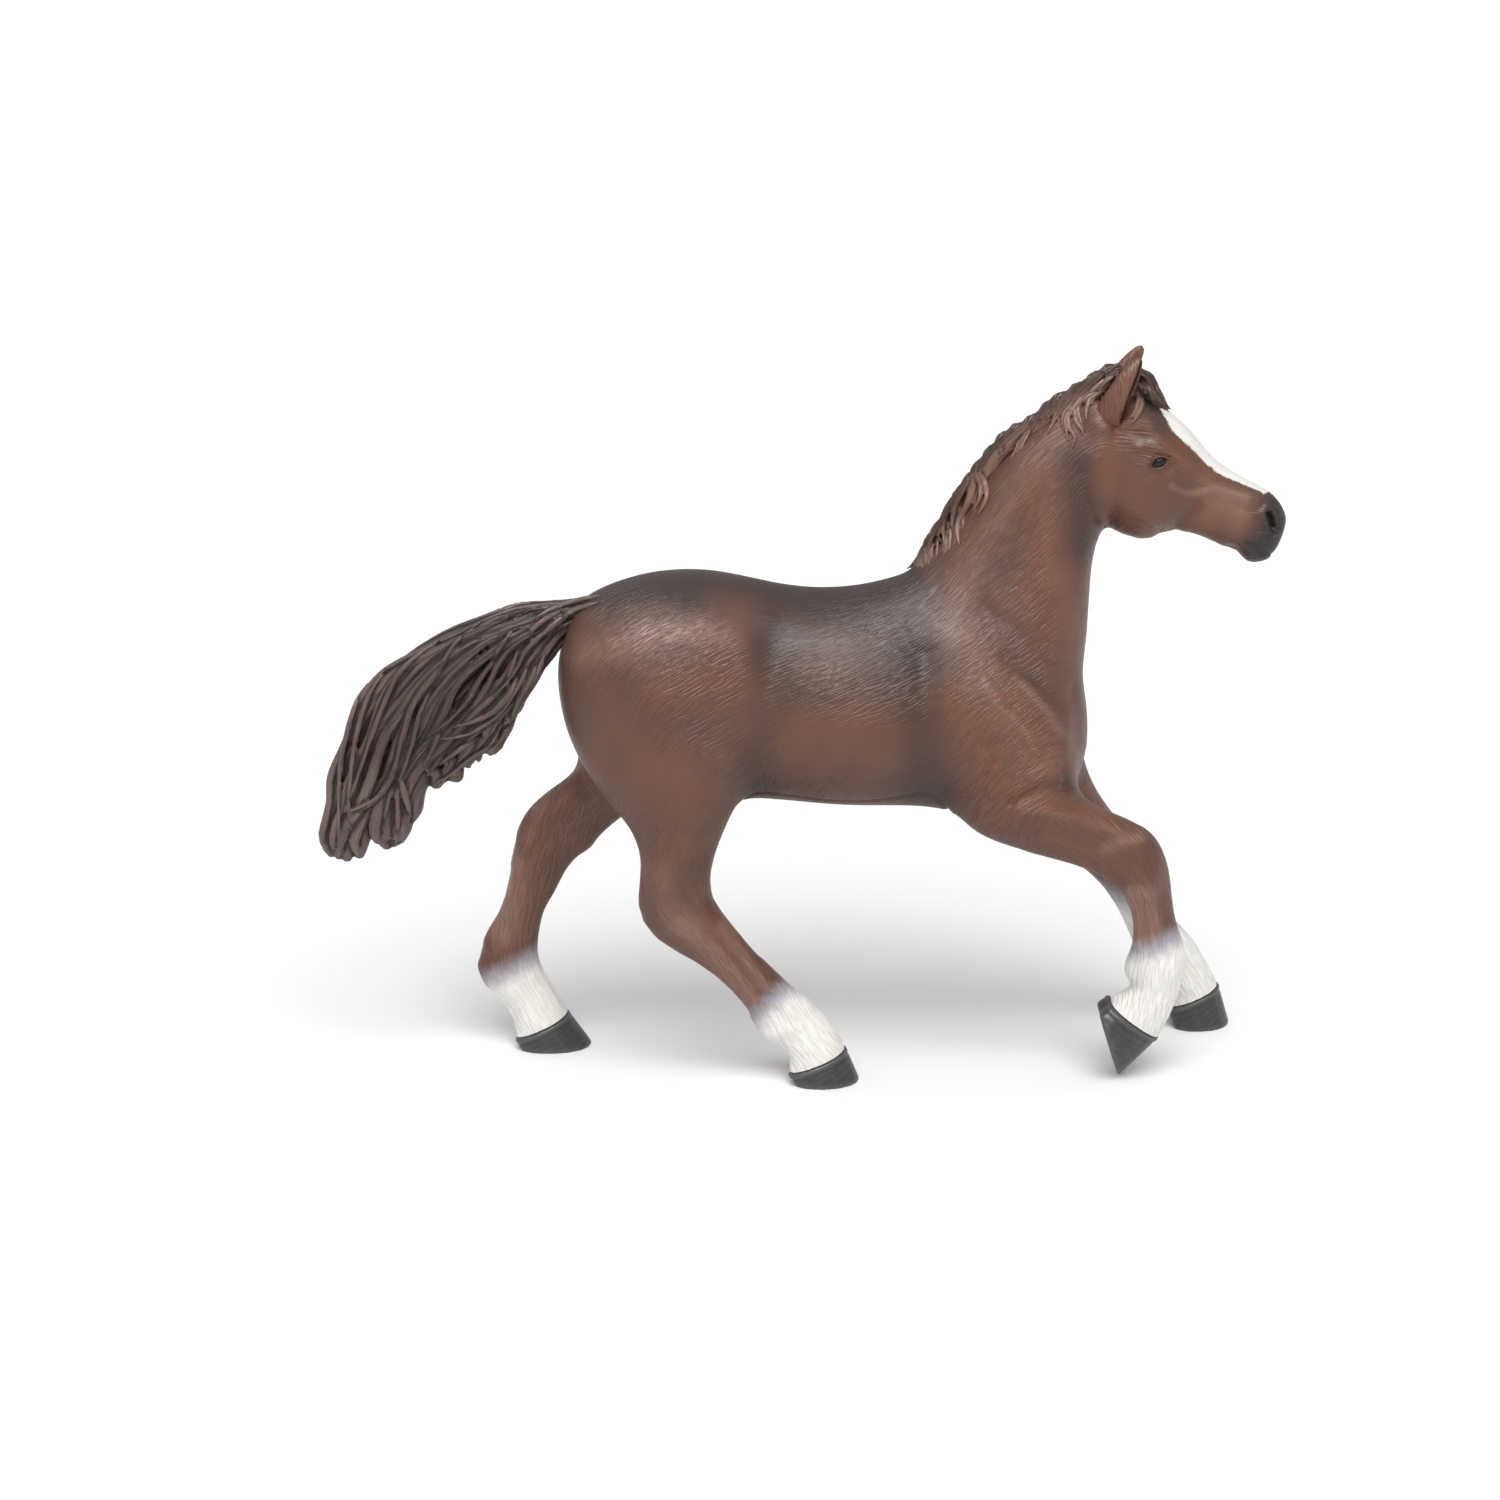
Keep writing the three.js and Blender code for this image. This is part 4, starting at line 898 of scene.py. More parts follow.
# Pale paint, and painted highlights where the light catches the neck crest, the shoulder, the muscle ridges, the
# nose, the brow, the cheekbone, the forearm, the knee, the hocks and the rump
PALE_PAINT_AND_HIGHLIGHTS = [
    ([(1060, 440), (1020, 480), (985, 540), (960, 590)], 18, 0.55),
    ([(940, 605), (970, 640), (985, 680)], 24, 0.50),
    ([(1022, 682), (1046, 709), (1061, 733)], 6, 0.60),
    ([(986, 686), (1006, 713), (1026, 733)], 6, 0.30),
    ([(1214, 489), (1246, 497)], 5, 0.70),
    ([(1139, 448), (1148, 445), (1160, 449)], 4, 0.20),
    ([(1172, 487), (1187, 494), (1205, 492)], 4, 0.60),
    ([(1100, 405), (1100, 440)], 10, 0.45),
    ([(1019, 809), (1079, 818), (1120, 832)], 7, 0.40),
    ([(722, 925), (740, 950), (765, 985)], 6, 0.90),
    ([(1130, 890), (1138, 940)], 5, 0.60),
    ([(1148, 895), (1152, 935)], 9, 0.90),
    ([(1160, 860), (1160, 890)], 7, 0.40),
    ([(1106, 848), (1122, 842), (1140, 836)], 8, 0.75),
    ([(532, 822), (560, 806)], 11, 0.50),
    ([(690, 930), (720, 960), (750, 1000)], 14, 0.90),
    ([(1140, 900), (1148, 945)], 14, 1.15),
    ([(512, 880), (502, 940)], 17, 0.90),
    ([(590, 800), (560, 835)], 18, 0.35),
    ([(660, 880), (670, 920)], 18, 0.55),
    ([(1206, 484), (1240, 504)], 13, 0.50),
    ([(1060, 580), (1075, 650)], 20, 0.30),
    ([(1215, 505), (1240, 522)], 15, 0.35),
    ([(1000, 720), (1040, 770)], 22, 0.30),
    ([(580, 655), (625, 645), (680, 628), (705, 632)], 19, 0.75),
    ([(700, 890), (690, 905)], 12, 0.30),
    ([(540, 815), (525, 850)], 8, 0.60),
    ([(505, 900), (493, 950)], 7, 0.50),
]
# Where the coat is smooth, with few strokes
CALM_COAT = [
    ([(1105, 470), (1140, 490), (1180, 500), (1240, 520)], 34, 0.95),
    ([(1070, 540), (1078, 640), (1075, 720), (1080, 780)], 24, 0.85),
    ([(960, 500), (1040, 420)], 10, 0.30),
    ([(800, 740), (880, 750), (930, 770)], 36, 0.85),
    ([(690, 790), (640, 780), (600, 740)], 44, 0.90),
    ([(560, 640), (570, 720)], 22, 0.70),
    ([(738, 605), (760, 650), (752, 720)], 15, 0.70),
    ([(660, 575), (800, 595)], 14, 0.80),
    ([(1000, 600), (1030, 640)], 14, 0.55),
    ([(670, 870), (700, 920)], 24, 0.60),
    ([(1060, 830), (1130, 860)], 22, 0.45),
    ([(880, 600), (925, 610), (950, 640)], 24, 0.55),
    ([(700, 615), (850, 645)], 24, 0.25),
    ([(800, 630), (860, 660), (920, 680)], 40, 0.42),
]
NOSTRIL_AND_MOUTH = [(NOSTRIL, 3.2, 1.0), (MOUTH, 1.6, 0.7)]
EYE_RIM_WIDTH = 0.35
BLAZE_CALM = 0.5


def coat_flow(name, points):
    """Hair flow of a moulding, in step with the trunk's at its seam."""
    trunk = hair_flow(TRUNK_HAIR, TRUNK_SIDE_Y, points, TRUNK_ROUNDING)
    if name not in LEG_HAIR:
        return trunk
    seam = flat_end(name, (0, 0, 1))[0][None]
    own = hair_flow(LEG_HAIR[name], LEG_MIDDLE_Y[name], np.concatenate([points, seam]))
    return own[:-1] - own[-1] + hair_flow(TRUNK_HAIR, TRUNK_SIDE_Y, seam, TRUNK_ROUNDING)[0]


def skin_masks(name, points):
    """Paint masks, painted highlight and painted shade among them, and hair flow for the points of one moulding."""
    mirrored, own = pixels_of(points), pixels_of(points, False)
    sock, blaze, muzzle = np.full((3, len(points)), -FAR)
    # Painted shade in the hollows: along the belly seam, round the eye's rim, in the nostrils and along the mouth
    hollow_shade = np.zeros(len(points))
    calm = stroke_sum(mirrored, CALM_COAT)
    if name in SOCKS:
        sock = inside_depth(own, SOCKS[name]) * MM_PER_PIXEL
    if name in ("body_shell", "belly_plate"):
        hollow_shade += np.exp(-(plate_field(points) / GROOVE_SHADE_WIDTH) ** 2)
    if name == "head":
        blaze = inside_depth(mirrored, BLAZE) * MM_PER_PIXEL
        muzzle = inside_depth(mirrored, MUZZLE) * MM_PER_PIXEL
        calm += np.clip(blaze + BLAZE_CALM, 0, 1)
        hollow_shade += np.exp(-((eye_share(mirrored)[0] - 1.0) / EYE_RIM_WIDTH) ** 2)
        hollow_shade += stroke_sum(mirrored, NOSTRIL_AND_MOUTH)
    return {"flow": coat_flow(name, points), "sock": sock, "blaze": blaze, "muzzle": muzzle,
            "hollow_shade": np.clip(hollow_shade, 0, 1), "dark_and_shade": stroke_sum(mirrored, DARK_PAINT_AND_SHADE),
            "warm": stroke_sum(mirrored, WARM_PAINT), "pale_and_highlight": stroke_sum(mirrored, PALE_PAINT_AND_HIGHLIGHTS),
            "calm": np.clip(calm, 0, 1)}


# Paints and finishes
def connect(tree, node, inputs):
    """Links or sets a node's inputs, by name or place."""
    for key, value in inputs.items():
        socket = node.inputs[key]
        if isinstance(value, bpy.types.NodeSocket):
            tree.links.new(value, socket)
        else:
            socket.default_value = (*value, 1) if socket.type == "RGBA" else value


def add_node(tree, kind, inputs=None, **settings):
    """A shader node with its settings and its inputs."""
    node = tree.nodes.new("ShaderNode" + kind)
    for name, value in settings.items():
        setattr(node, name, value)
    connect(tree, node, inputs or {})
    return node


def noise(tree, scale, detail=2.0, place=None, roughness=0.5):
    """Noise over the object's own coordinates, or over a place given."""
    if place is None:
        place = add_node(tree, "TexCoord").outputs["Object"]
    inputs = {"Vector": place, "Scale": scale, "Detail": detail, "Roughness": roughness}
    return add_node(tree, "TexNoise", inputs).outputs[0]


def maths(tree, operation, *values):
    """The result of an operation on values."""
    return add_node(tree, "Math", dict(enumerate(values)), operation=operation).outputs[0]


def ranged(tree, value, low_edge, high_edge, low_value=0.0, high_value=1.0):
    """A soft change from one value to another between two edges."""
    inputs = {"Value": value, "From Min": low_edge, "From Max": high_edge,
              "To Min": low_value, "To Max": high_value}
    return add_node(tree, "MapRange", inputs, interpolation_type="SMOOTHSTEP").outputs["Result"]


def mixed(tree, share, first, second):
    """A colour between two colours."""
    node = add_node(tree, "Mix", data_type="RGBA")
    a, b = (index for index, socket in enumerate(node.inputs) if socket.type == "RGBA")
    connect(tree, node, {"Factor": share, a: first, b: second})
    return next(socket for socket in node.outputs if socket.type == "RGBA")


def mixed_value(tree, share, first, second):
    """A number between two numbers."""
    return add_node(tree, "Mix", {0: share, 2: first, 3: second}).outputs[0]


def new_group(name, inputs, outputs):
    """An empty shader group with named sockets."""
    group = bpy.data.node_groups.new(name, "ShaderNodeTree")
    kinds = {"float": "NodeSocketFloat", "vector": "NodeSocketVector", "color": "NodeSocketColor"}
    for socket, kind in inputs.items():
        group.interface.new_socket(socket, in_out="INPUT", socket_type=kinds[kind])
    for socket, kind in outputs.items():
        group.interface.new_socket(socket, in_out="OUTPUT", socket_type=kinds[kind])
    return group, group.nodes.new("NodeGroupInput").outputs, group.nodes.new("NodeGroupOutput").inputs


def make_stroke_group():
    """Short engraved strokes that follow a flow in millimetres."""
    tree, given, result = new_group("engraved_strokes", {"Flow": "vector", "Length": "float", "Width": "float"},
                                    {"Height": "float"})
    along, across, aside = add_node(tree, "SeparateXYZ", {0: given["Flow"]}).outputs
    wander = noise(tree, 0.30, 1.0, given["Flow"])
    across = maths(tree, "ADD", across, maths(tree, "MULTIPLY", wander, 0.6))
    thickness = maths(tree, "MULTIPLY", given["Width"], 7.0)
    spans = (along, given["Length"]), (across, given["Width"]), (aside, thickness)
    shares = {i: maths(tree, "DIVIDE", *span) for i, span in enumerate(spans)}
    place = add_node(tree, "CombineXYZ", shares).outputs[0]
    tree.links.new(ranged(tree, noise(tree, 1.0, 1.5, place, 0.4), 0.34, 0.60), result["Height"])
    return tree


def make_airbrush_group():
    """Paint laid over a colour, with a grainy soft edge."""
    tree, given, result = new_group("airbrush", {"Under": "color", "Paint": "color", "Mask": "float",
                                                 "Start": "float", "Full": "float", "Grain": "float"},
                                    {"Color": "color", "Cover": "float"})
    spray = maths(tree, "SUBTRACT", noise(tree, 900.0, 3.0, roughness=0.65), 0.5)
    edge = maths(tree, "ADD", given["Mask"], maths(tree, "MULTIPLY", spray, given["Grain"]))
    cover = ranged(tree, edge, given["Start"], given["Full"])
    tree.links.new(mixed(tree, cover, given["Under"], given["Paint"]), result["Color"])
    tree.links.new(cover, result["Cover"])
    return tree


stroke_group = make_stroke_group()
airbrush_group = make_airbrush_group()


def grouped(tree, group, inputs):
    """The outputs of a shader group placed in a material."""
    node = tree.nodes.new("ShaderNodeGroup")
    node.node_tree = group
    connect(tree, node, inputs)
    return node.outputs


def new_material(name, roughness, specular=0.5):
    """A material with its shader tree and its main shader."""
    material = bpy.data.materials.new(name)
    material.use_nodes = True
    tree = material.node_tree
    shader = tree.nodes["Principled BSDF"]
    shader.inputs["Roughness"].default_value = roughness
    shader.inputs["Specular IOR Level"].default_value = specular
    return material, tree, shader


def attribute(tree, name, output="Fac"):
    """A mask or a flow that the piece's points carry."""
    return add_node(tree, "Attribute", attribute_name=name).outputs[output]


def bumped(tree, shader, height, strength, distance_mm, under=None):
    """Relief on a shader, over the relief under it if any, and its normal."""
    inputs = {"Height": height, "Strength": strength, "Distance": distance_mm * MM}
    if under is not None:
        inputs["Normal"] = under
    bump = add_node(tree, "Bump", inputs)
    tree.links.new(bump.outputs[0], shader.inputs["Normal"])
    return bump.outputs[0]


COAT_BASE = (0.112, 0.050, 0.033)
COAT_DARK_AND_SHADE = (0.034, 0.017, 0.013)
COAT_WARM = (0.170, 0.060, 0.029)
COAT_PALE_AND_HIGHLIGHT = (0.225, 0.118, 0.088)
SOCK_WHITE = (0.75, 0.74, 0.70)
SOCK_SHADE = (0.40, 0.375, 0.42)
WHITE_GROOVE_SHADE = (0.52, 0.47, 0.44)
MUZZLE_DARK = (0.021, 0.015, 0.014)
HOLLOW_SHADE = (0.018, 0.012, 0.011)
HAIR_DARK_AND_SHADE = (0.021, 0.012, 0.009)
TAIL_LIGHT = (0.150, 0.104, 0.092)
MANE_LIGHT = (0.270, 0.146, 0.110)
HOOF_COLOR = (0.032, 0.029, 0.032)
HOOF_RIM = (0.13, 0.12, 0.125)
EYE_COLORS = (0.004, 0.003, 0.003), (0.016, 0.010, 0.008)


def make_coat():
    """Engraved chestnut with dark, warm and pale paint, painted highlights and painted shade, and the white and the
    muzzle sprayed over it.
    """
    material, tree, shader = new_material("chestnut_coat", 0.48)
    flow = attribute(tree, "flow", "Vector")
    strokes = grouped(tree, stroke_group, {"Flow": flow, "Length": 2.4, "Width": 0.33})["Height"]
    relief = mixed_value(tree, attribute(tree, "calm"), strokes, 0.75)
    broad, patches = noise(tree, 160.0, 3.0), noise(tree, 70.0)
    color = mixed(tree, ranged(tree, patches, 0.35, 0.7, 0.0, 0.30), COAT_BASE, COAT_WARM)
    color = mixed(tree, ranged(tree, broad, 0.35, 0.7, 0.0, 0.16), color, COAT_DARK_AND_SHADE)

    def sprayed(paint, mask, start, full, grain, under):
        return grouped(tree, airbrush_group, {"Under": under, "Paint": paint, "Mask": attribute(tree, mask),
                                              "Start": start, "Full": full, "Grain": grain})

    # Warm paint; pale paint with painted highlights; dark paint with painted shade in the creases and under the
    # belly
    for paint, mask, full in ((COAT_WARM, "warm", 1.5), (COAT_PALE_AND_HIGHLIGHT, "pale_and_highlight", 1.3), (COAT_DARK_AND_SHADE, "dark_and_shade", 1.3)):
        color = sprayed(paint, mask, -0.05, full, 0.25, color)["Color"]
    # Painted shade: darker down in the engraved strokes
    color = mixed(tree, ranged(tree, relief, 0.0, 1.0, 0.22, 0.0), color, COAT_DARK_AND_SHADE)
    color = sprayed(MUZZLE_DARK, "muzzle", -1.4, 3.0, 1.6, color)["Color"]
    color = sprayed(SOCK_SHADE, "sock", -2.4, 1.5, 1.6, color)["Color"]
    sock = sprayed(SOCK_WHITE, "sock", 0.3, 3.2, 1.8, color)
    blaze = sprayed(SOCK_WHITE, "blaze", -0.10, 0.20, 0.9, sock["Color"])
    white = maths(tree, "MAXIMUM", sock["Cover"], blaze["Cover"])
    # Painted shade: the white is greyer down in the strokes
    shade = maths(tree, "MULTIPLY", ranged(tree, strokes, 0.0, 1.0, 0.24, 0.0), white)
    color = mixed(tree, shade, blaze["Color"], WHITE_GROOVE_SHADE)
    # Painted shade in the hollows: the eye's rim, the nostrils, the mouth, the belly seam and the inside of the ears
    color = mixed(tree, maths(tree, "MULTIPLY", attribute(tree, "hollow_shade"), 0.9), color, HOLLOW_SHADE)
    gloss = ranged(tree, broad, 0.3, 0.7, 0.45, 0.52)
    connect(tree, shader, {"Base Color": color, "Roughness": gloss})
    fine = bumped(tree, shader, noise(tree, 3500.0), 0.35, 0.05)
    bumped(tree, shader, relief, 0.9, 0.125, fine)
    return material


def make_hair(name, light, groove_shade_edges):
    """Moulded hair, pale on its ridges and dark in its grooves, partly dry-brushed paint and partly painted shade,
    with fine lines along each strand.
    """
    material, tree, shader = new_material(name, 0.46)
    strand = attribute(tree, "strand", "Vector")
    lines = grouped(tree, stroke_group, {"Flow": strand, "Length": 7.0, "Width": 0.24})["Height"]
    patches = noise(tree, 0.12, 2.0, strand)
    top = mixed(tree, ranged(tree, patches, 0.35, 0.7), light, tuple(0.62 * c for c in light))
    scored = maths(tree, "MULTIPLY", maths(tree, "SUBTRACT", lines, 0.5), -0.35)
    ridge = maths(tree, "ADD", attribute(tree, "groove_shade"), scored)
    # Darker down in the grooves: partly a dark wash and partly painted shade
    color = mixed(tree, ranged(tree, ridge, *groove_shade_edges), top, HAIR_DARK_AND_SHADE)
    color = mixed(tree, maths(tree, "MULTIPLY", attribute(tree, "shade"), 0.8), color, HAIR_DARK_AND_SHADE)
    connect(tree, shader, {"Base Color": color})
    bumped(tree, shader, lines, 0.85, 0.13)
    return material


def make_hoof():
    """Charcoal horn, a little paler on its rims."""
    material, tree, shader = new_material("charcoal_hoof", 0.42)
    grain = noise(tree, 1100.0, 4.0)
    color = mixed(tree, ranged(tree, grain, 0.3, 0.7), HOOF_COLOR, tuple(1.35 * c for c in HOOF_COLOR))
    color = mixed(tree, maths(tree, "MULTIPLY", attribute(tree, "rim"), 0.45), color, HOOF_RIM)
    connect(tree, shader, {"Base Color": color})
    bumped(tree, shader, grain, 0.4, 0.08)
    return material


def make_eye_paint():
    """Gloss black, faintly brown in places."""
    material, tree, shader = new_material("gloss_black_eye", 0.22, 0.35)
    connect(tree, shader, {"Base Color": mixed(tree, noise(tree, 800.0), *EYE_COLORS)})
    return material


coat = make_coat()
tail_paint = make_hair("dark_tail_hair", TAIL_LIGHT, (-0.45, 0.40))
mane_paint = make_hair("dark_mane_hair", MANE_LIGHT, (-0.15, 0.95))
horn = make_hoof()
eye_paint = make_eye_paint()


def make_skin_piece(name):
    """One moulding of the coat, cut from the sculpted skin and closed."""
    used, own_tris = np.unique(skin_tris[skin_labels == label_of[name]], return_inverse=True)
    points, tris = capped(skin_points[used], own_tris.reshape(-1, 3))
    normals = np.concatenate([skin_normals[used], np.zeros((len(points) - len(used), 3))])
    make_piece(name + "_skin", points, tris, coat, [name], normals, skin_masks(name, points))


for coat_name in COAT_NODES:
    make_skin_piece(coat_name)

# Hair: strands swept along paths, laid on what is under them and fused
SIDEWAYS = np.array([0.0, 1.0, 0.0])
STRAND_TIP = 0.28
LOCK_STEPS = 28
LOCK_REST = 0.04
LOCK_ARCH = 0.34
LOCK_DEPTH = 0.60


def tube(path, outs, half_widths, half_depths, sides=8):
    """A closed strand with an oval section, whose flat side faces out, and the frame of each of its points."""
    ahead = unit(np.gradient(path, axis=0))
    wide = unit(np.cross(ahead, outs))
    outs = unit(np.cross(wide, ahead))
    angle = np.arange(sides) * 2 * math.pi / sides
    rings = (path[:, None] + wide[:, None] * (half_widths[:, None] * np.sin(angle))[..., None]
             + outs[:, None] * (half_depths[:, None] * np.cos(angle))[..., None])
    points, tris = ring_skin(rings, path[0], path[-1])
    along = np.concatenate([[0], np.cumsum(np.linalg.norm(np.diff(path, axis=0), axis=1))])
    frames = np.column_stack([along, path, wide])
    return points, tris, np.concatenate([np.repeat(frames, sides, axis=0), frames[:1], frames[-1:]])


def strand_profile(count, start, finish):
    """Full in the middle of a strand, and drawn in over its first and last shares."""
    share = np.linspace(0, 1, count)
    rise = np.sqrt(np.clip(share / start, 0, 1)) if start else 1
    fall = np.sqrt(np.clip((1 - share) / finish, 0, 1))
    return np.clip(rise * fall, STRAND_TIP, 1)


def laid_path(places, outs, count):
    """A smooth run through places, and the outward directions along it."""
    run = curve_through(np.column_stack([places, outs]), count)
    return run[:, :3], unit(run[:, 3:])


def laid_lock(tree, pixels, random, size=0.6, nearest=1.0, flat=1.0):
    """A lock on the near side, laid on what shows at its pixels."""
    places, outs = [], []
    for u, v in pixels:
        hit, normal, _, _ = tree.ray_cast(Vector(camera_place), Vector(sight(u, v)).normalized())
        if hit is None or hit[1] - middle_y > -nearest:
            hit, normal = seen(u, v, -nearest), (0, -0.8, 0.6)
        places.append(np.array(hit))
        outs.append(np.array(normal))
    path, outs = laid_path(places, outs, LOCK_STEPS)
    lift = LOCK_REST + LOCK_ARCH * np.sin(np.linspace(0.2, 2.75, LOCK_STEPS))
    body = strand_profile(LOCK_STEPS, 0.2, 0.55)
    half = body * size * random.uniform(0.78, 1.22)
    return tube(path + outs * lift[:, None] * flat, outs, half, body * LOCK_DEPTH * flat)


# Tail guides in pixels of the photograph, from the top edge to the bottom edge, root first, and its near locks
TAIL_GUIDES = [
    [(612, 594), (559, 597), (520, 600), (492, 609), (463, 621), (432, 636), (400, 656), (369, 681), (352, 706),
     (341, 730), (329, 758), (324, 778), (324, 803), (314, 840), (319, 858)],
    [(606, 600), (564, 605), (526, 614), (494, 628), (463, 646), (434, 667), (409, 692), (390, 719), (377, 744),
     (367, 772), (358, 801), (346, 831), (345, 864)],
    [(602, 607), (568, 612), (536, 623), (507, 640), (482, 662), (461, 683), (442, 706), (425, 730), (411, 753),
     (400, 778), (390, 805), (386, 828), (392, 848)],
    [(597, 614), (568, 619), (545, 633), (524, 654), (509, 675), (492, 694), (473, 713), (452, 732), (432, 750),
     (417, 769), (407, 792), (406, 815), (403, 841)],
    [(592, 621), (568, 629), (555, 642), (541, 661), (528, 679), (515, 700), (497, 719), (478, 738), (459, 757),
     (458, 766), (466, 777)],
    [(586, 633), (568, 642), (555, 658), (541, 677), (528, 694), (519, 711), (513, 728), (509, 747)],
]
TAIL_LOCKS = [
    [(528, 664), (523, 675), (513, 694), (498, 713), (477, 730), (456, 737), (438, 739)],
    [(518, 676), (510, 692), (496, 709), (475, 721), (452, 727)],
    [(512, 630), (500, 648), (487, 675), (468, 700), (447, 723), (428, 736)],
    [(500, 728), (489, 746), (468, 759), (447, 776), (435, 782)],
    [(480, 736), (460, 748), (446, 760), (437, 768)],
    [(440, 640), (418, 656), (399, 675), (384, 704), (372, 736), (361, 767), (350, 799), (344, 812)],
    [(455, 650), (435, 675), (414, 704), (401, 742), (393, 772), (380, 795), (357, 808), (345, 812)],
    [(398, 762), (390, 780), (374, 803), (350, 815)],
    [(369, 681), (357, 704), (346, 738), (341, 767), (340, 799), (339, 837)],
    [(385, 668), (368, 700), (357, 735), (352, 770), (349, 805), (350, 828)],
    [(402, 780), (404, 791), (407, 806), (410, 818)],
    [(396, 780), (397, 795), (399, 820), (395, 847)],
    [(392, 785), (390, 799), (385, 818)],
    [(563, 610), (538, 626), (523, 645), (510, 671), (508, 690)],
    [(575, 612), (555, 622), (530, 648), (515, 672), (495, 696)],
    [(530, 670), (523, 683), (515, 709), (509, 725)],
    [(536, 664), (532, 675), (519, 700), (514, 722)],
    [(545, 655), (537, 672), (526, 690), (519, 708)],
    [(480, 622), (455, 645), (436, 672), (424, 700), (415, 730)],
    [(430, 690), (420, 715), (412, 745), (404, 770), (396, 790)],
    [(468, 690), (450, 715), (436, 742), (424, 765)],
    [(602, 596), (590, 599), (574, 603), (550, 611), (528, 622)],
    [(600, 602), (588, 607), (574, 612), (560, 622), (548, 636)],
    [(594, 607), (584, 613), (575, 622), (567, 636)],
]
TAIL_MIDDLE = [(480, 655), (445, 700), (420, 745)]
TAIL_HALF_DEPTHS = [3.4, 4.6, 5.6, 6.1, 6.0, 5.4, 4.4, 3.2]
TAIL_STEPS = 56
TAIL_CORES = 13
TAIL_CORE_SPAN = (0.06, 0.94)
TAIL_CORE_INSET = 1.15
TAIL_RIDGES = 23
TAIL_LOOSE = 11

# Where across the tail its tufts gather, and where its strands run longest
TAIL_TUFTS = np.array([0.1, 0.5, 0.8, 1.0])
TAIL_TUFT_PULL = 0.16
TAIL_LONG = np.array([0.07, 0.12, 0.20, 0.29, 0.36, 0.42, 0.5, 0.58, 0.8, 1.0])
TAIL_LONG_REACH = 0.05
TAIL_SHORTENING = 1.5

# Ridges run from the root to the end, and loose strands cross them. Spans are drawn from at random.
RIDGE = {"drift": (-0.02, 0.05), "lift": 0.0, "finish": (0.97, 1.0), "thin": (0, 0.03), "width": 1.0}
LOOSE = {"drift": (0.05, 0.30), "lift": 0.26, "finish": (0.75, 0.9), "thin": (0.2, 0.25), "width": 0.8,
         "begin": (0.1, 0.55)}


def tail_surface():
    """Guides as evenly spaced places in the tail's middle plane."""
    return np.array([curve_through([seen(u, v) for u, v in guide], TAIL_STEPS) for guide in TAIL_GUIDES])


def tail_path(guides, across, side, lift):
    """A path along the tail's skin: across runs from 0 at the top edge to 1 at the bottom edge."""
    at = np.clip(across, 0, 1) * (len(guides) - 1)
    base = np.minimum(at.astype(int), len(guides) - 2)
    share = (at - base)[:, None]
    rows = np.arange(TAIL_STEPS)
    flat = guides[base, rows] * (1 - share) + guides[base + 1, rows] * share
    level = 2 * np.clip(across, 0, 1) - 1
    marks = np.linspace(0, 1, len(TAIL_HALF_DEPTHS))
    depth = np.interp(np.linspace(0, 1, TAIL_STEPS), marks, TAIL_HALF_DEPTHS)
    round_share = np.sqrt(np.clip(1 - level ** 2, 0, 1))
    upward = unit(guides[0] - guides[-1])
    out = unit(SIDEWAYS * (side * round_share)[:, None] - upward * level[:, None])
    return flat + SIDEWAYS * (side * depth * round_share)[:, None] + out * lift[:, None], out


def tufted(across, share):
    """Draws strands together towards the tufts at the tail's end."""
    nearest = TAIL_TUFTS[np.argmin(np.abs(across.mean() - TAIL_TUFTS))]
    return across + (nearest - across) * TAIL_TUFT_PULL * smoothstep(0.70, 0.98, share)


def tail_reach(across):
    """How far down the tail a strand runs: all the way in a tuft and less between tufts."""
    return 1 - TAIL_SHORTENING * max(np.min(np.abs(across - TAIL_LONG)) - TAIL_LONG_REACH, 0)


def tail_core(guides, level):
    """A thick strand that fills the tail between its two sides."""
    across = tufted(np.full(TAIL_STEPS, level), np.linspace(0, 1, TAIL_STEPS))
    inset = np.full(TAIL_STEPS, -TAIL_CORE_INSET)
    left, right = (tail_path(guides, across, side, inset)[0] for side in (1, -1))
    last = int(TAIL_STEPS * tail_reach(level))
    body = strand_profile(last, 0, 0.05)
    room = np.linalg.norm(guides[0] - guides[-1], axis=1) / TAIL_CORES
    half_depths = np.maximum(np.abs(left - right)[:, 1] / 2, 0.8)
    return tube(((left + right) / 2)[:last], np.tile(SIDEWAYS, (last, 1)),
                np.clip(room * 0.85, 0.6, 2.0)[:last] * body, half_depths[:last] * body, 12)


def tail_strand(guides, random, across, side, kind):
    """A ridge or a loose strand on one side of the tail."""
    share = np.linspace(0, 1, TAIL_STEPS)
    sway = 0.026 * np.sin(share * 10 + across * 8 + side) + 0.014 * np.sin(share * 19 + across * 25)
    own = random.uniform(0.008, 0.026) * np.sin(share * random.uniform(7, 14) + random.uniform(0, 6.3))
    drift = random.uniform(*kind["drift"]) * share
    lift = random.uniform(-0.85, -0.45) + 0.22 * np.sin(share * 8 + random.uniform(0, 6.3)) + kind["lift"]
    line = across + (sway + own) * smoothstep(0.03, 0.25, share) + drift
    path, out = tail_path(guides, tufted(line, share), side, lift)
    begin = random.uniform(*kind["begin"]) if "begin" in kind else 0
    finish = tail_reach(across) * random.uniform(*kind["finish"])
    run = slice(int(TAIL_STEPS * begin), int(TAIL_STEPS * finish))
    body = strand_profile(len(path[run]), *kind["thin"])
    room = np.linalg.norm(guides[0] - guides[-1], axis=1)[run] * 1.25 / TAIL_RIDGES
    half = np.clip(room * random.uniform(0.38, 0.66), 0.32, 1.05) * kind["width"]
    return tube(path[run], out[run], body * half, body * np.clip(half * 0.95, 0.35, 0.80), 10)


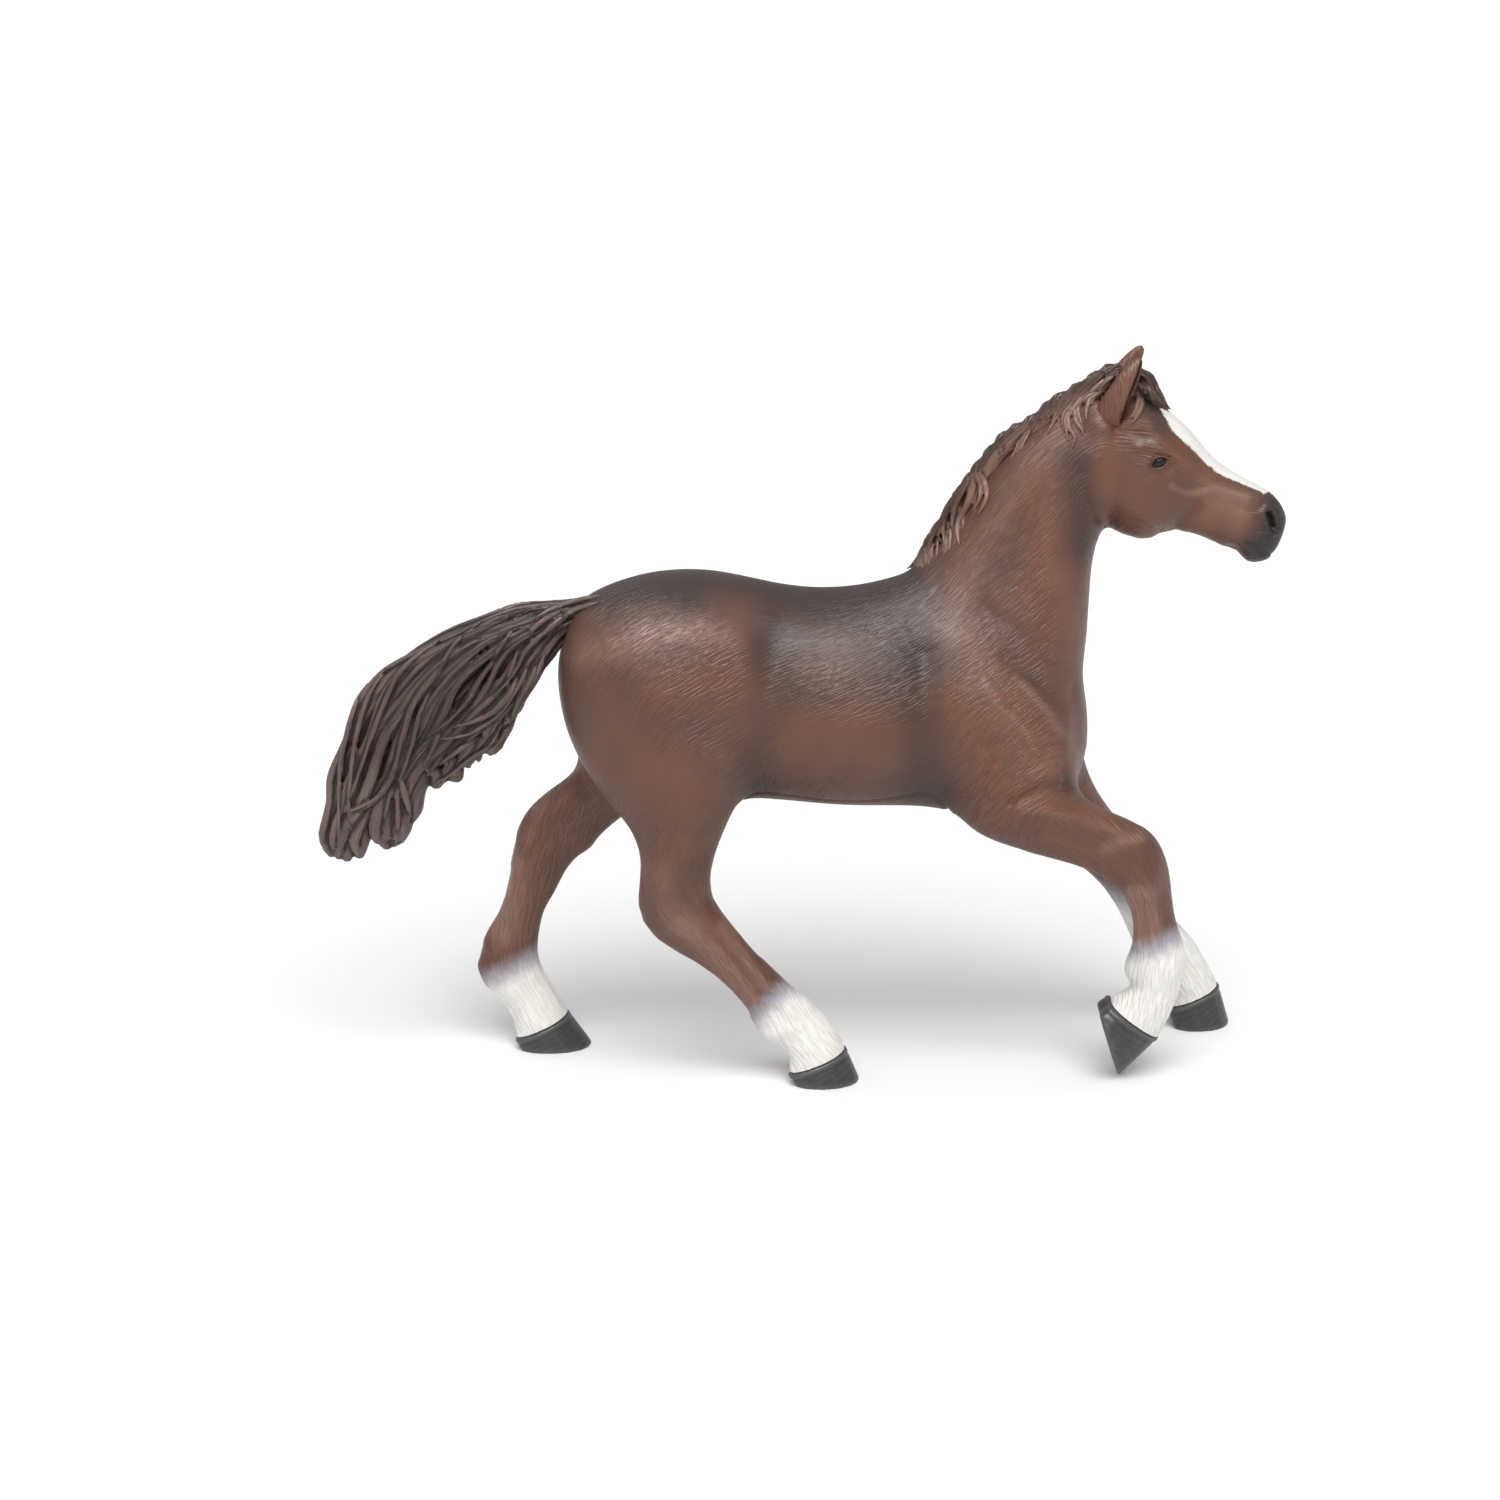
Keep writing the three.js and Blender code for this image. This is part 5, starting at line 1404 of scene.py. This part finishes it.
def make_tail():
    """Cores, ridges and loose strands on both sides, and the near locks over them."""
    random = np.random.default_rng(5)
    guides = tail_surface()
    parts = [tail_core(guides, level) for level in np.linspace(*TAIL_CORE_SPAN, TAIL_CORES)]
    for side in (-1, 1):
        for k in range(TAIL_RIDGES):
            across = (k + 0.5 + random.uniform(-0.2, 0.2)) / TAIL_RIDGES
            parts.append(tail_strand(guides, random, across, side, RIDGE))
        for k in range(TAIL_LOOSE):
            across = (k + random.uniform(0, 1)) / TAIL_LOOSE
            parts.append(tail_strand(guides, random, across, side, LOOSE))
    tree = tree_of(parts + [skin])
    return parts + [laid_lock(tree, pixels, random, 0.46, -3.0, 0.8) for pixels in TAIL_LOCKS]


# Mane: its crest from the withers to the poll and its near locks, in pixels of the photograph
CREST = [(903, 562), (911, 550), (920, 539), (932, 525), (942, 513), (952, 495), (962, 480), (974, 464), (985, 449),
         (1000, 433), (1015, 423), (1030, 415), (1042, 404), (1055, 394), (1070, 387), (1085, 378), (1098, 368),
         (1108, 363), (1118, 361)]
NEAR_LOCKS = [
    [(1100, 372), (1084, 385), (1070, 399), (1061, 412), (1055, 422), (1048, 434)],
    [(1094, 374), (1078, 388), (1066, 401), (1057, 413), (1051, 424)],
    [(1104, 374), (1088, 386), (1075, 400), (1066, 412), (1062, 421), (1064, 431)],
    [(1102, 380), (1088, 393), (1076, 406), (1069, 417), (1070, 428), (1075, 438), (1071, 450)],
    [(1098, 387), (1084, 398), (1073, 410), (1066, 422), (1067, 434), (1070, 446)],
    [(1100, 388), (1087, 398), (1078, 409), (1076, 420), (1081, 429), (1087, 438)],
    [(1108, 378), (1094, 388), (1084, 399), (1079, 410), (1081, 420), (1085, 430)],
    [(1110, 384), (1099, 393), (1090, 403), (1087, 413), (1088, 423)],
    [(1114, 376), (1103, 385), (1096, 395), (1091, 406)],
    [(1090, 378), (1074, 391), (1062, 404), (1054, 414)],
    [(979, 472), (985, 484), (988, 496), (983, 508), (977, 517)],
    [(975, 473), (981, 486), (981, 499), (974, 511)],
    [(972, 474), (972, 488), (967, 504), (958, 520), (958, 532), (960, 546)],
    [(970, 476), (963, 490), (955, 506), (952, 520), (953, 530)],
    [(967, 478), (957, 492), (949, 508), (943, 526), (945, 548)],
    [(958, 492), (948, 506), (941, 522), (938, 540)],
    [(944, 514), (937, 528), (931, 540), (926, 552)],
]
CREST_STEPS = 60
COMB_STRANDS = 84
COMB_STEPS = 40
COMB_CLEAR_Y = 40
COMB_NECK_Y = 15

# Steps along the crest from the withers, and how a combed strand changes there
COMB_START = ([24, 30, 42, 48], [1, 0.62, 0.62, 1])
COMB_TOP = ([0, 8], [2.7, 0.45])
COMB_FALL = ([0, 9], [0.5, 1])
COMB_WIDTH = ([0, 8], [0.7, 1])

# Shares of a combed strand and its half thickness there, and shares of the core and its half depth and drop
COMB_THICKNESS = ([0, 0.4, 0.6, 1], [0.27, 0.31, 0.60, 0.60])
CORE_DEPTH = ([0, 0.14, 0.9, 1], [0.4, 1.5, 1.5, 1.0])
CORE_DROP = ([0, 0.14], [2.2, 0.5])
CORE_NARROW = 0.62


def beside(tree, place, side):
    """What lies level with a place in a tree, on one side of the animal, and its normal."""
    start = Vector((place[0], middle_y + side * COMB_CLEAR_Y, place[2]))
    hit, normal, _, _ = tree.ray_cast(start, Vector((0, -side, 0)))
    if hit is None or abs(hit[1] - middle_y) > COMB_NECK_Y:
        hit, normal, _, _ = tree.find_nearest(Vector(place))
    return np.array(hit), np.array(normal)


def comb_strand(tree, crest, outline, random, k):
    """A strand that rises on the near side, passes over the crest and falls down the far side."""
    at = np.clip((k + random.uniform(-0.3, 0.3)) / (COMB_STRANDS - 1), 0, 1) * (len(crest) - 1)
    place = np.array([np.interp(at, np.arange(len(crest)), crest[:, i]) for i in range(3)])
    along = outline[int(round(at))]
    down = np.array([along[2], 0, -along[0]])
    fall = (7 + 5 * math.sin(math.pi * (0.12 + 0.8 * k / COMB_STRANDS))) * random.uniform(0.75, 1.15)
    fall *= np.interp(at, *COMB_FALL)
    start = min(random.uniform(3.4, 5.8), 0.35 * at + 1.6) * np.interp(at, *COMB_START)
    top = np.interp(at, *COMB_TOP) + 0.26 * math.sin(1.25 * k)
    reach = min(random.uniform(8.0, 12.0), 0.6 * at + 0.5)
    # Side, depth below the crest, shift along it and lift off the neck, from the near side to the far side
    marks = [(-1, start, -reach, -0.60), (-1, start * 0.8, -reach * 0.75, -0.16),
             (-1, start * 0.45, -reach * 0.4, -0.08), (-1, 0.9, -reach * 0.15, 0.0),
             (0, top + random.uniform(-0.12, 0.12), 0, 0), (1, 1.2, 0.4, 0.2),
             (1, fall * 0.4, -0.8, 0.35), (1, fall * 0.7, -1.4 + random.uniform(-1, 1), 0.3), (1, fall, -3.5, 0.0)]
    places, outs = [], []
    for side, depth, shift, lift in marks:
        spot, out = place + down * depth + along * shift, -down
        if side:
            spot, out = beside(tree, spot, side)
        places.append(spot + out * lift)
        outs.append(out)
    path, outs = laid_path(places, outs, COMB_STEPS)
    body = strand_profile(COMB_STEPS, 0.32, 0.25) * np.interp(at, *COMB_WIDTH)
    thick = np.interp(np.linspace(0, 1, COMB_STEPS), *COMB_THICKNESS)
    return tube(path, outs, body * thick * random.uniform(0.85, 1.15), body * thick * 0.85)


def make_mane():
    """A core under the crest, the strands combed over it, and the near locks over them."""
    random = np.random.default_rng(11)
    crest = curve_through([seen(u, v) for u, v in CREST], CREST_STEPS)
    along = unit(np.gradient(crest, axis=0))
    below = np.column_stack([along[:, 2], np.zeros(CREST_STEPS), -along[:, 0]])
    share = np.linspace(0, 1, CREST_STEPS)
    deep = np.interp(share, *CORE_DEPTH)
    middles = crest + below * (deep + np.interp(share, *CORE_DROP))[:, None]
    core = tube(middles, np.tile(SIDEWAYS, (CREST_STEPS, 1)), deep, deep * CORE_NARROW, 12)
    tree = tree_of([core, skin])
    parts = [core] + [comb_strand(tree, crest, along, random, k) for k in range(COMB_STRANDS)]
    tree = tree_of(parts + [skin])
    return parts + [laid_lock(tree, pixels, random, 0.52, flat=0.8) for pixels in NEAR_LOCKS]


# Forelock: how far forward and how wide its strands lie, in the side view
FORELOCK_X = [57.2, 59.0, 61.0, 63.0, 64.8, 66.2]
FORELOCK_HALF_WIDTHS = [1.0, 1.9, 2.6, 2.7, 2.2, 1.3]
FORELOCK_STRANDS = 11
FORELOCK_STEPS = 24
FORELOCK_CLEAR_Z = 130
FORELOCK_LOCKS = [
    [(1140, 369), (1149, 375), (1155, 384), (1158, 394), (1166, 405), (1173, 413)],
    [(1138, 373), (1146, 378), (1151, 386), (1154, 395), (1162, 405), (1169, 413)],
    [(1137, 377), (1144, 383), (1148, 390), (1153, 399), (1161, 409)],
    [(1136, 381), (1141, 387), (1144, 394), (1150, 403)],
    [(1137, 389), (1138, 399), (1135, 411), (1128, 421)],
    [(1140, 393), (1142, 404), (1138, 415), (1131, 425)],
]
EAR_TUFT = [(1137, 407), (1129, 423)]


def make_forelock():
    """A core, strands over it from the poll to the brow, and the near locks over them."""
    random = np.random.default_rng(3)
    tree = tree_of([grown_node("forelock", -0.1), skin])
    core = grown_node("forelock", -0.30)
    parts = [(*core, np.column_stack([core[0][:, 0], core[0], np.tile(SIDEWAYS, (len(core[0]), 1))]))]
    marks = range(len(FORELOCK_X))
    for spread in np.linspace(-1, 1, FORELOCK_STRANDS):
        places, outs = [], []
        for share in np.linspace(0, random.uniform(0.75, 1.0), len(marks)):
            x = np.interp(share * marks[-1], marks, FORELOCK_X) + random.uniform(-0.1, 0.1)
            wide = np.interp(share * marks[-1], marks, FORELOCK_HALF_WIDTHS)
            sway = 0.25 * math.sin(share * 7 + spread * 3)
            start = Vector(row_place(x, spread * wide + sway, FORELOCK_CLEAR_Z))
            hit, normal, _, _ = tree.ray_cast(start, Vector((0, 0, -1)))
            places.append(np.array(hit) + 0.15 * np.array(normal))
            outs.append(np.array(normal))
        path, outs = laid_path(places, outs, FORELOCK_STEPS)
        body = strand_profile(FORELOCK_STEPS, 0.1, 0.45)
        parts.append(tube(path, outs, body * random.uniform(0.36, 0.5), body * 0.5))
    tree = tree_of(parts + [skin])
    return parts + [laid_lock(tree, pixels, random, 0.42, 0.2, 0.7) for pixels in FORELOCK_LOCKS]


HAIR_VOXEL = 0.2
TAIL_VOXEL = 0.244
HAIR_GROOVE = 0.14
STRAND_APART = 7.3

# Widths in pixels of the shaded runs, and how dark they are
CREST_WIDTH = 11
TAIL_MIDDLE_WIDTH, TAIL_DARK = 46, 0.75
EAR_TUFT_WIDTH, FORELOCK_DARK, EAR_TUFT_PALE = 8, 0.9, 0.8


def strand_places(points, parts):
    """Along and across its nearest strand, and a number for the strand, for each point of fused hair."""
    all_points, all_tris = joined([part[:2] for part in parts])
    frames = np.concatenate([part[2] for part in parts])
    number = np.repeat(np.arange(len(parts)), [len(part[1]) for part in parts])
    tree = tree_of(parts)
    found = [tree.find_nearest(point) for point in points.tolist()]
    places = np.array([tuple(hit[0]) for hit in found])
    index = np.array([hit[2] for hit in found])
    a, b, c = (all_points[all_tris[index, i]] for i in range(3))
    whole = np.cross(b - a, c - a)
    size = np.maximum(np.sum(whole * whole, axis=1), 1e-12)
    second = np.sum(np.cross(places - a, c - a) * whole, axis=1) / size
    third = np.sum(np.cross(b - a, places - a) * whole, axis=1) / size
    weights = np.column_stack([1 - second - third, second, third])
    frame_at = np.sum(frames[all_tris[index]] * weights[..., None], axis=1)
    across = np.sum((points - frame_at[:, 1:4]) * frame_at[:, 4:7], axis=1)
    return np.column_stack([frame_at[:, 0], across, number[index] * STRAND_APART])


def hair_piece(name, parts, node, material, shade, voxel=HAIR_VOXEL):
    """Strands fused to one piece, with masks for its grooves and their painted shade, its strands and its shade."""
    points, tris = fused([part[:2] for part in parts], voxel)
    edges = edges_of(tris)
    points = relaxed(points, edges, 0.5, 1)
    calm = relaxed(points, edges, 0.6, 12)
    groove_shade = np.einsum("ij,ij->i", calm - points, point_normals(points, tris)) / HAIR_GROOVE
    masks = {"groove_shade": groove_shade, "strand": strand_places(points, parts), "shade": shade(points)}
    make_piece(name, points, tris, material, [node], None, masks)


def crest_shade(points):
    """Darker along the top of the mane."""
    return np.exp(-(line_distance(pixels_of(points), CREST) / CREST_WIDTH) ** 2)


def tail_shade(points):
    """Darker in the middle of the tail than at its root and its tips."""
    return TAIL_DARK * np.exp(-(line_distance(pixels_of(points, False), TAIL_MIDDLE) / TAIL_MIDDLE_WIDTH) ** 2)


def forelock_shade(points):
    """Dark all over, but for the tufts beside the ear."""
    away = line_distance(pixels_of(points), EAR_TUFT) / EAR_TUFT_WIDTH
    return FORELOCK_DARK - EAR_TUFT_PALE * np.exp(-away ** 4)


hair_piece("tail_hair", make_tail(), "tail", tail_paint, tail_shade, TAIL_VOXEL)
hair_piece("mane_hair", make_mane(), "mane", mane_paint, crest_shade)
hair_piece("forelock_hair", make_forelock(), "forelock", mane_paint, forelock_shade)

# Ears: pixels along each ear's middle, foot first, with its distance from the middle plane and its half width
EARS = {
    "right_ear": {
        "axis": [(1098, 440), (1104, 424), (1112, 407), (1121, 391), (1130, 375), (1137, 363), (1140, 359)],
        "away": [1.2, -1.4, -3.7, -4.8, -4.9, -4.7, -4.6],
        "half": [2.0, 2.35, 2.15, 1.86, 1.45, 0.85, 0.42]},
    "left_ear": {
        "axis": [(1106, 412), (1110, 398), (1117, 384), (1124, 371), (1132, 359), (1139, 350), (1142, 347)],
        "away": [1.0, 2.9, 4.3, 4.9, 4.9, 4.7, 4.6],
        "half": [1.2, 1.65, 1.85, 1.70, 1.30, 0.80, 0.45]},
}
EAR_DEEP = 1.15
EAR_WIDE = 0.95
EAR_FORWARD = 0.2
EAR_OPENING = (0.93, 0.36, 0.1)
EAR_RINGS = 36
EAR_SIDES = 40
EAR_WRAP = math.radians(128)
EAR_WALL = 0.30
EAR_RIM_THINNING = 0.35
EAR_TIP = 0.15
EAR_SOLID_SHARE = (0.28, 0.5)


def make_ear(name, side):
    """A cupped ear with a thin rim, solid at its foot and open above it to the front and outwards."""
    ear = EARS[name]
    axis = np.array([seen(u, v, away) for (u, v), away in zip(ear["axis"], ear["away"])])
    run = curve_through(np.column_stack([axis, ear["half"]]), EAR_RINGS)
    path, half = run[:, :3], np.maximum(run[:, 3], 0.08)
    ahead = unit(np.gradient(path, axis=0))
    wide = unit(np.cross(ahead, np.array(EAR_OPENING) * [1, side, 1]))
    front = unit(np.cross(wide, ahead))
    turn = np.linspace(-EAR_WRAP, EAR_WRAP, EAR_SIDES // 2)
    outer = np.column_stack([EAR_FORWARD - np.cos(turn) * EAR_DEEP, np.sin(turn) * EAR_WIDE])
    wall = EAR_WALL * (1 - EAR_RIM_THINNING * np.abs(turn) / EAR_WRAP)
    depth = smoothstep(*EAR_SOLID_SHARE, np.linspace(0, 1, EAR_RINGS))
    rings = []
    for centre, w, f, size, open_share in zip(path, wide, front, half, depth):
        closing = 1 - open_share
        inside = outer * np.maximum(size - wall * np.minimum(1, size), 0.1 * size)[:, None]
        inside[:, 0] += closing * size * 0.9 * np.cos(turn / 2)
        shape = np.concatenate([outer * size, inside[::-1]])
        rings.append(centre + shape[:, :1] * f + shape[:, 1:] * w)
    points, tris = ring_skin(np.array(rings), path[0], path[-1] + ahead[-1] * EAR_TIP)
    # Darker inside the cup: painted shade; paler and warmer on the outside
    ring_mask = np.concatenate([0 * turn, 0.25 + 0.75 * np.cos(turn / EAR_WRAP * math.pi / 2)])
    inner = np.concatenate([np.tile(ring_mask, EAR_RINGS), [0.0, 0.0]])
    away = points - path[0]
    none = np.full(len(points), -FAR)
    masks = {"flow": away[:, [2, 0, 1]], "sock": none, "blaze": none, "muzzle": none,
             "dark_and_shade": 0.6 * inner, "warm": 0.9 - 0.9 * inner, "pale_and_highlight": 0.3 - 0.3 * inner,
             "hollow_shade": 0.85 * inner, "calm": np.full(len(points), 0.3)}
    make_piece(name + "_cup", points, tris, coat, [name], None, masks)


make_ear("right_ear", -1)
make_ear("left_ear", 1)

# Eyes
EYE_BALL = (1.28, 0.72, 0.60)
EYE_SINK = 0.40
EYE_SIDE_Y = -6


def oval(centre, axes, halves, rings=20, sides=28):
    """A closed oval: halves are its half sizes along the three axes."""
    tall = np.linspace(0, math.pi, rings + 1)[-2:0:-1]
    turn = np.arange(sides) * 2 * math.pi / sides
    t, r = np.meshgrid(tall, turn, indexing="ij")
    local = np.stack([np.cos(t), np.sin(t) * np.cos(r), np.sin(t) * np.sin(r)], axis=2)
    ends = np.array([[-1, 0, 0], [1, 0, 0]])
    rings, ends = (centre + (shape * np.array(halves)) @ np.array(axes) for shape in (local, ends))
    return ring_skin(rings, *ends)


def make_eye(name, side):
    """A bead in its socket, where the photograph shows the near eye, or mirrored from there."""
    hit, normal, _, _ = smooth_tree.ray_cast(Vector(camera_place), Vector(sight(*EYE)).normalized())
    ahead = seen(EYE[0] + math.cos(EYE_TURN), EYE[1] - math.sin(EYE_TURN), EYE_SIDE_Y) - seen(*EYE, EYE_SIDE_Y)
    out = np.array(normal)
    length = unit(ahead - out * (ahead @ out))
    mirror = np.array([1, -side, 1])
    centre = (np.array(hit) - EYE_SINK * out - middle) * mirror + middle
    axes = [length * mirror, np.cross(out, length) * mirror, out * mirror]
    points, tris = oval(centre, axes, EYE_BALL)
    make_piece(name + "_ball", points, tris, eye_paint, [name])


make_eye("right_eye", -1)
make_eye("left_eye", 1)

# Hooves
HOOF_VOXEL = 0.2
HOOF_ROUNDS = 16
HOOF_GROWTH = 0.06
HOOF_RING_STEP = 0.95
HOOF_RING_HEIGHT = 0.016
HOOF_RIM_HEIGHT = 0.16
HOOF_EDGE = 0.10


def make_hoof_piece(name):
    """The hoof with its coronet rim, growth rings and softened edges."""
    points, tris = fused([node_arrays(name)], HOOF_VOXEL)
    edges = edges_of(tris)
    points = relaxed(points, edges, 0.5, HOOF_ROUNDS)
    normals = point_normals(points, tris)
    top, up, _ = flat_end(name, (0, 0, 1))
    below = -(points - top) @ up
    wall = 1 - smoothstep(0.45, 0.8, np.abs(normals @ up))
    wave = np.sin(2 * math.pi * below / HOOF_RING_STEP + 0.6 * np.sin(points[:, 0] * 1.3) + points[:, 1])
    rings = HOOF_RING_HEIGHT * wave * smoothstep(0.8, 1.6, below)
    rim = HOOF_RIM_HEIGHT * np.exp(-((below - 0.35) / 0.40) ** 2) - 0.05 * np.exp(-((below - 1.05) / 0.25) ** 2)
    points = points + ((rings + rim) * wall + HOOF_GROWTH)[:, None] * normals
    points[:, 2] = np.maximum(points[:, 2], 0)
    calm = relaxed(points, edges, 0.6, 14)
    edge = np.clip(np.einsum("ij,ij->i", points - calm, normals) / HOOF_EDGE, 0, 1)
    make_piece(name + "_horn", points, tris, horn, [name], None, {"rim": edge})


for hoof_name in HOOF_NODES:
    make_hoof_piece(hoof_name)

# Floor, lights and camera
FLOOR_HALF_SIDE = 6.0
FLOOR_SHADE = (0.96, 0.96, 0.96)
WORLD_GLOW = 0.50
WORLD_WHITE = 1.1
KEY_POWER = 2.5
KEY_SPREAD = 54
KEY_ELEVATION = 54
KEY_TURN = 3
OVERHEAD_PLACE = (-0.10, -0.24, 0.72)
OVERHEAD_AIM = (0, 0, 0.06)
OVERHEAD_SIZE = (0.50, 0.28)
OVERHEAD_POWER = 7.2


def make_floor():
    corners = np.array([[-1, -1, 0], [1, -1, 0], [1, 1, 0], [-1, 1, 0]]) * FLOOR_HALF_SIDE
    mesh = bare_mesh("floor", corners, np.array([[0, 1, 2, 3]]))
    material, _, shader = new_material("pale_floor", 0.9, 0.1)
    shader.inputs["Base Color"].default_value = (*FLOOR_SHADE, 1)
    mesh.materials.append(material)
    placed("floor", mesh)


def make_camera():
    data = bpy.data.cameras.new("camera")
    data.lens = CAMERA_LENS
    data.sensor_width = SENSOR_WIDTH
    camera = placed("camera", data)
    camera.location = Vector(camera_place) * MM
    camera.rotation_euler = (math.pi / 2 - tilt, 0, 0)
    bpy.context.scene.camera = camera


def make_world():
    """White behind the animal, with a softer glow for lighting it."""
    world = bpy.data.worlds.new("studio")
    world.use_nodes = True
    tree = world.node_tree
    straight = add_node(tree, "LightPath").outputs["Is Camera Ray"]
    strength = ranged(tree, straight, 0.0, 1.0, WORLD_GLOW, WORLD_WHITE)
    connect(tree, tree.nodes["Background"], {"Color": (1, 1, 1), "Strength": strength})
    bpy.context.scene.world = world


def make_key_lamp():
    """The soft light from high in front, whose shadow falls behind the animal."""
    data = bpy.data.lights.new("key", "SUN")
    data.energy = KEY_POWER
    data.angle = math.radians(KEY_SPREAD)
    lamp = placed("key", data)
    lamp.rotation_euler = (math.radians(90 - KEY_ELEVATION), 0, math.radians(KEY_TURN))
    lamp.visible_glossy = False


def make_overhead_lamp():
    """A softbox above, for the highlights along the back and the rump."""
    data = bpy.data.lights.new("overhead", "AREA")
    data.shape = "RECTANGLE"
    data.size, data.size_y = OVERHEAD_SIZE
    data.energy = OVERHEAD_POWER
    lamp = placed("overhead", data)
    lamp.location = OVERHEAD_PLACE
    lamp.rotation_euler = (Vector(OVERHEAD_AIM) - lamp.location).to_track_quat("-Z", "Y").to_euler()
    lamp.visible_diffuse = False


bpy.context.scene.view_settings.view_transform = "Standard"
make_floor()
make_camera()
make_world()
make_key_lamp()
make_overhead_lamp()
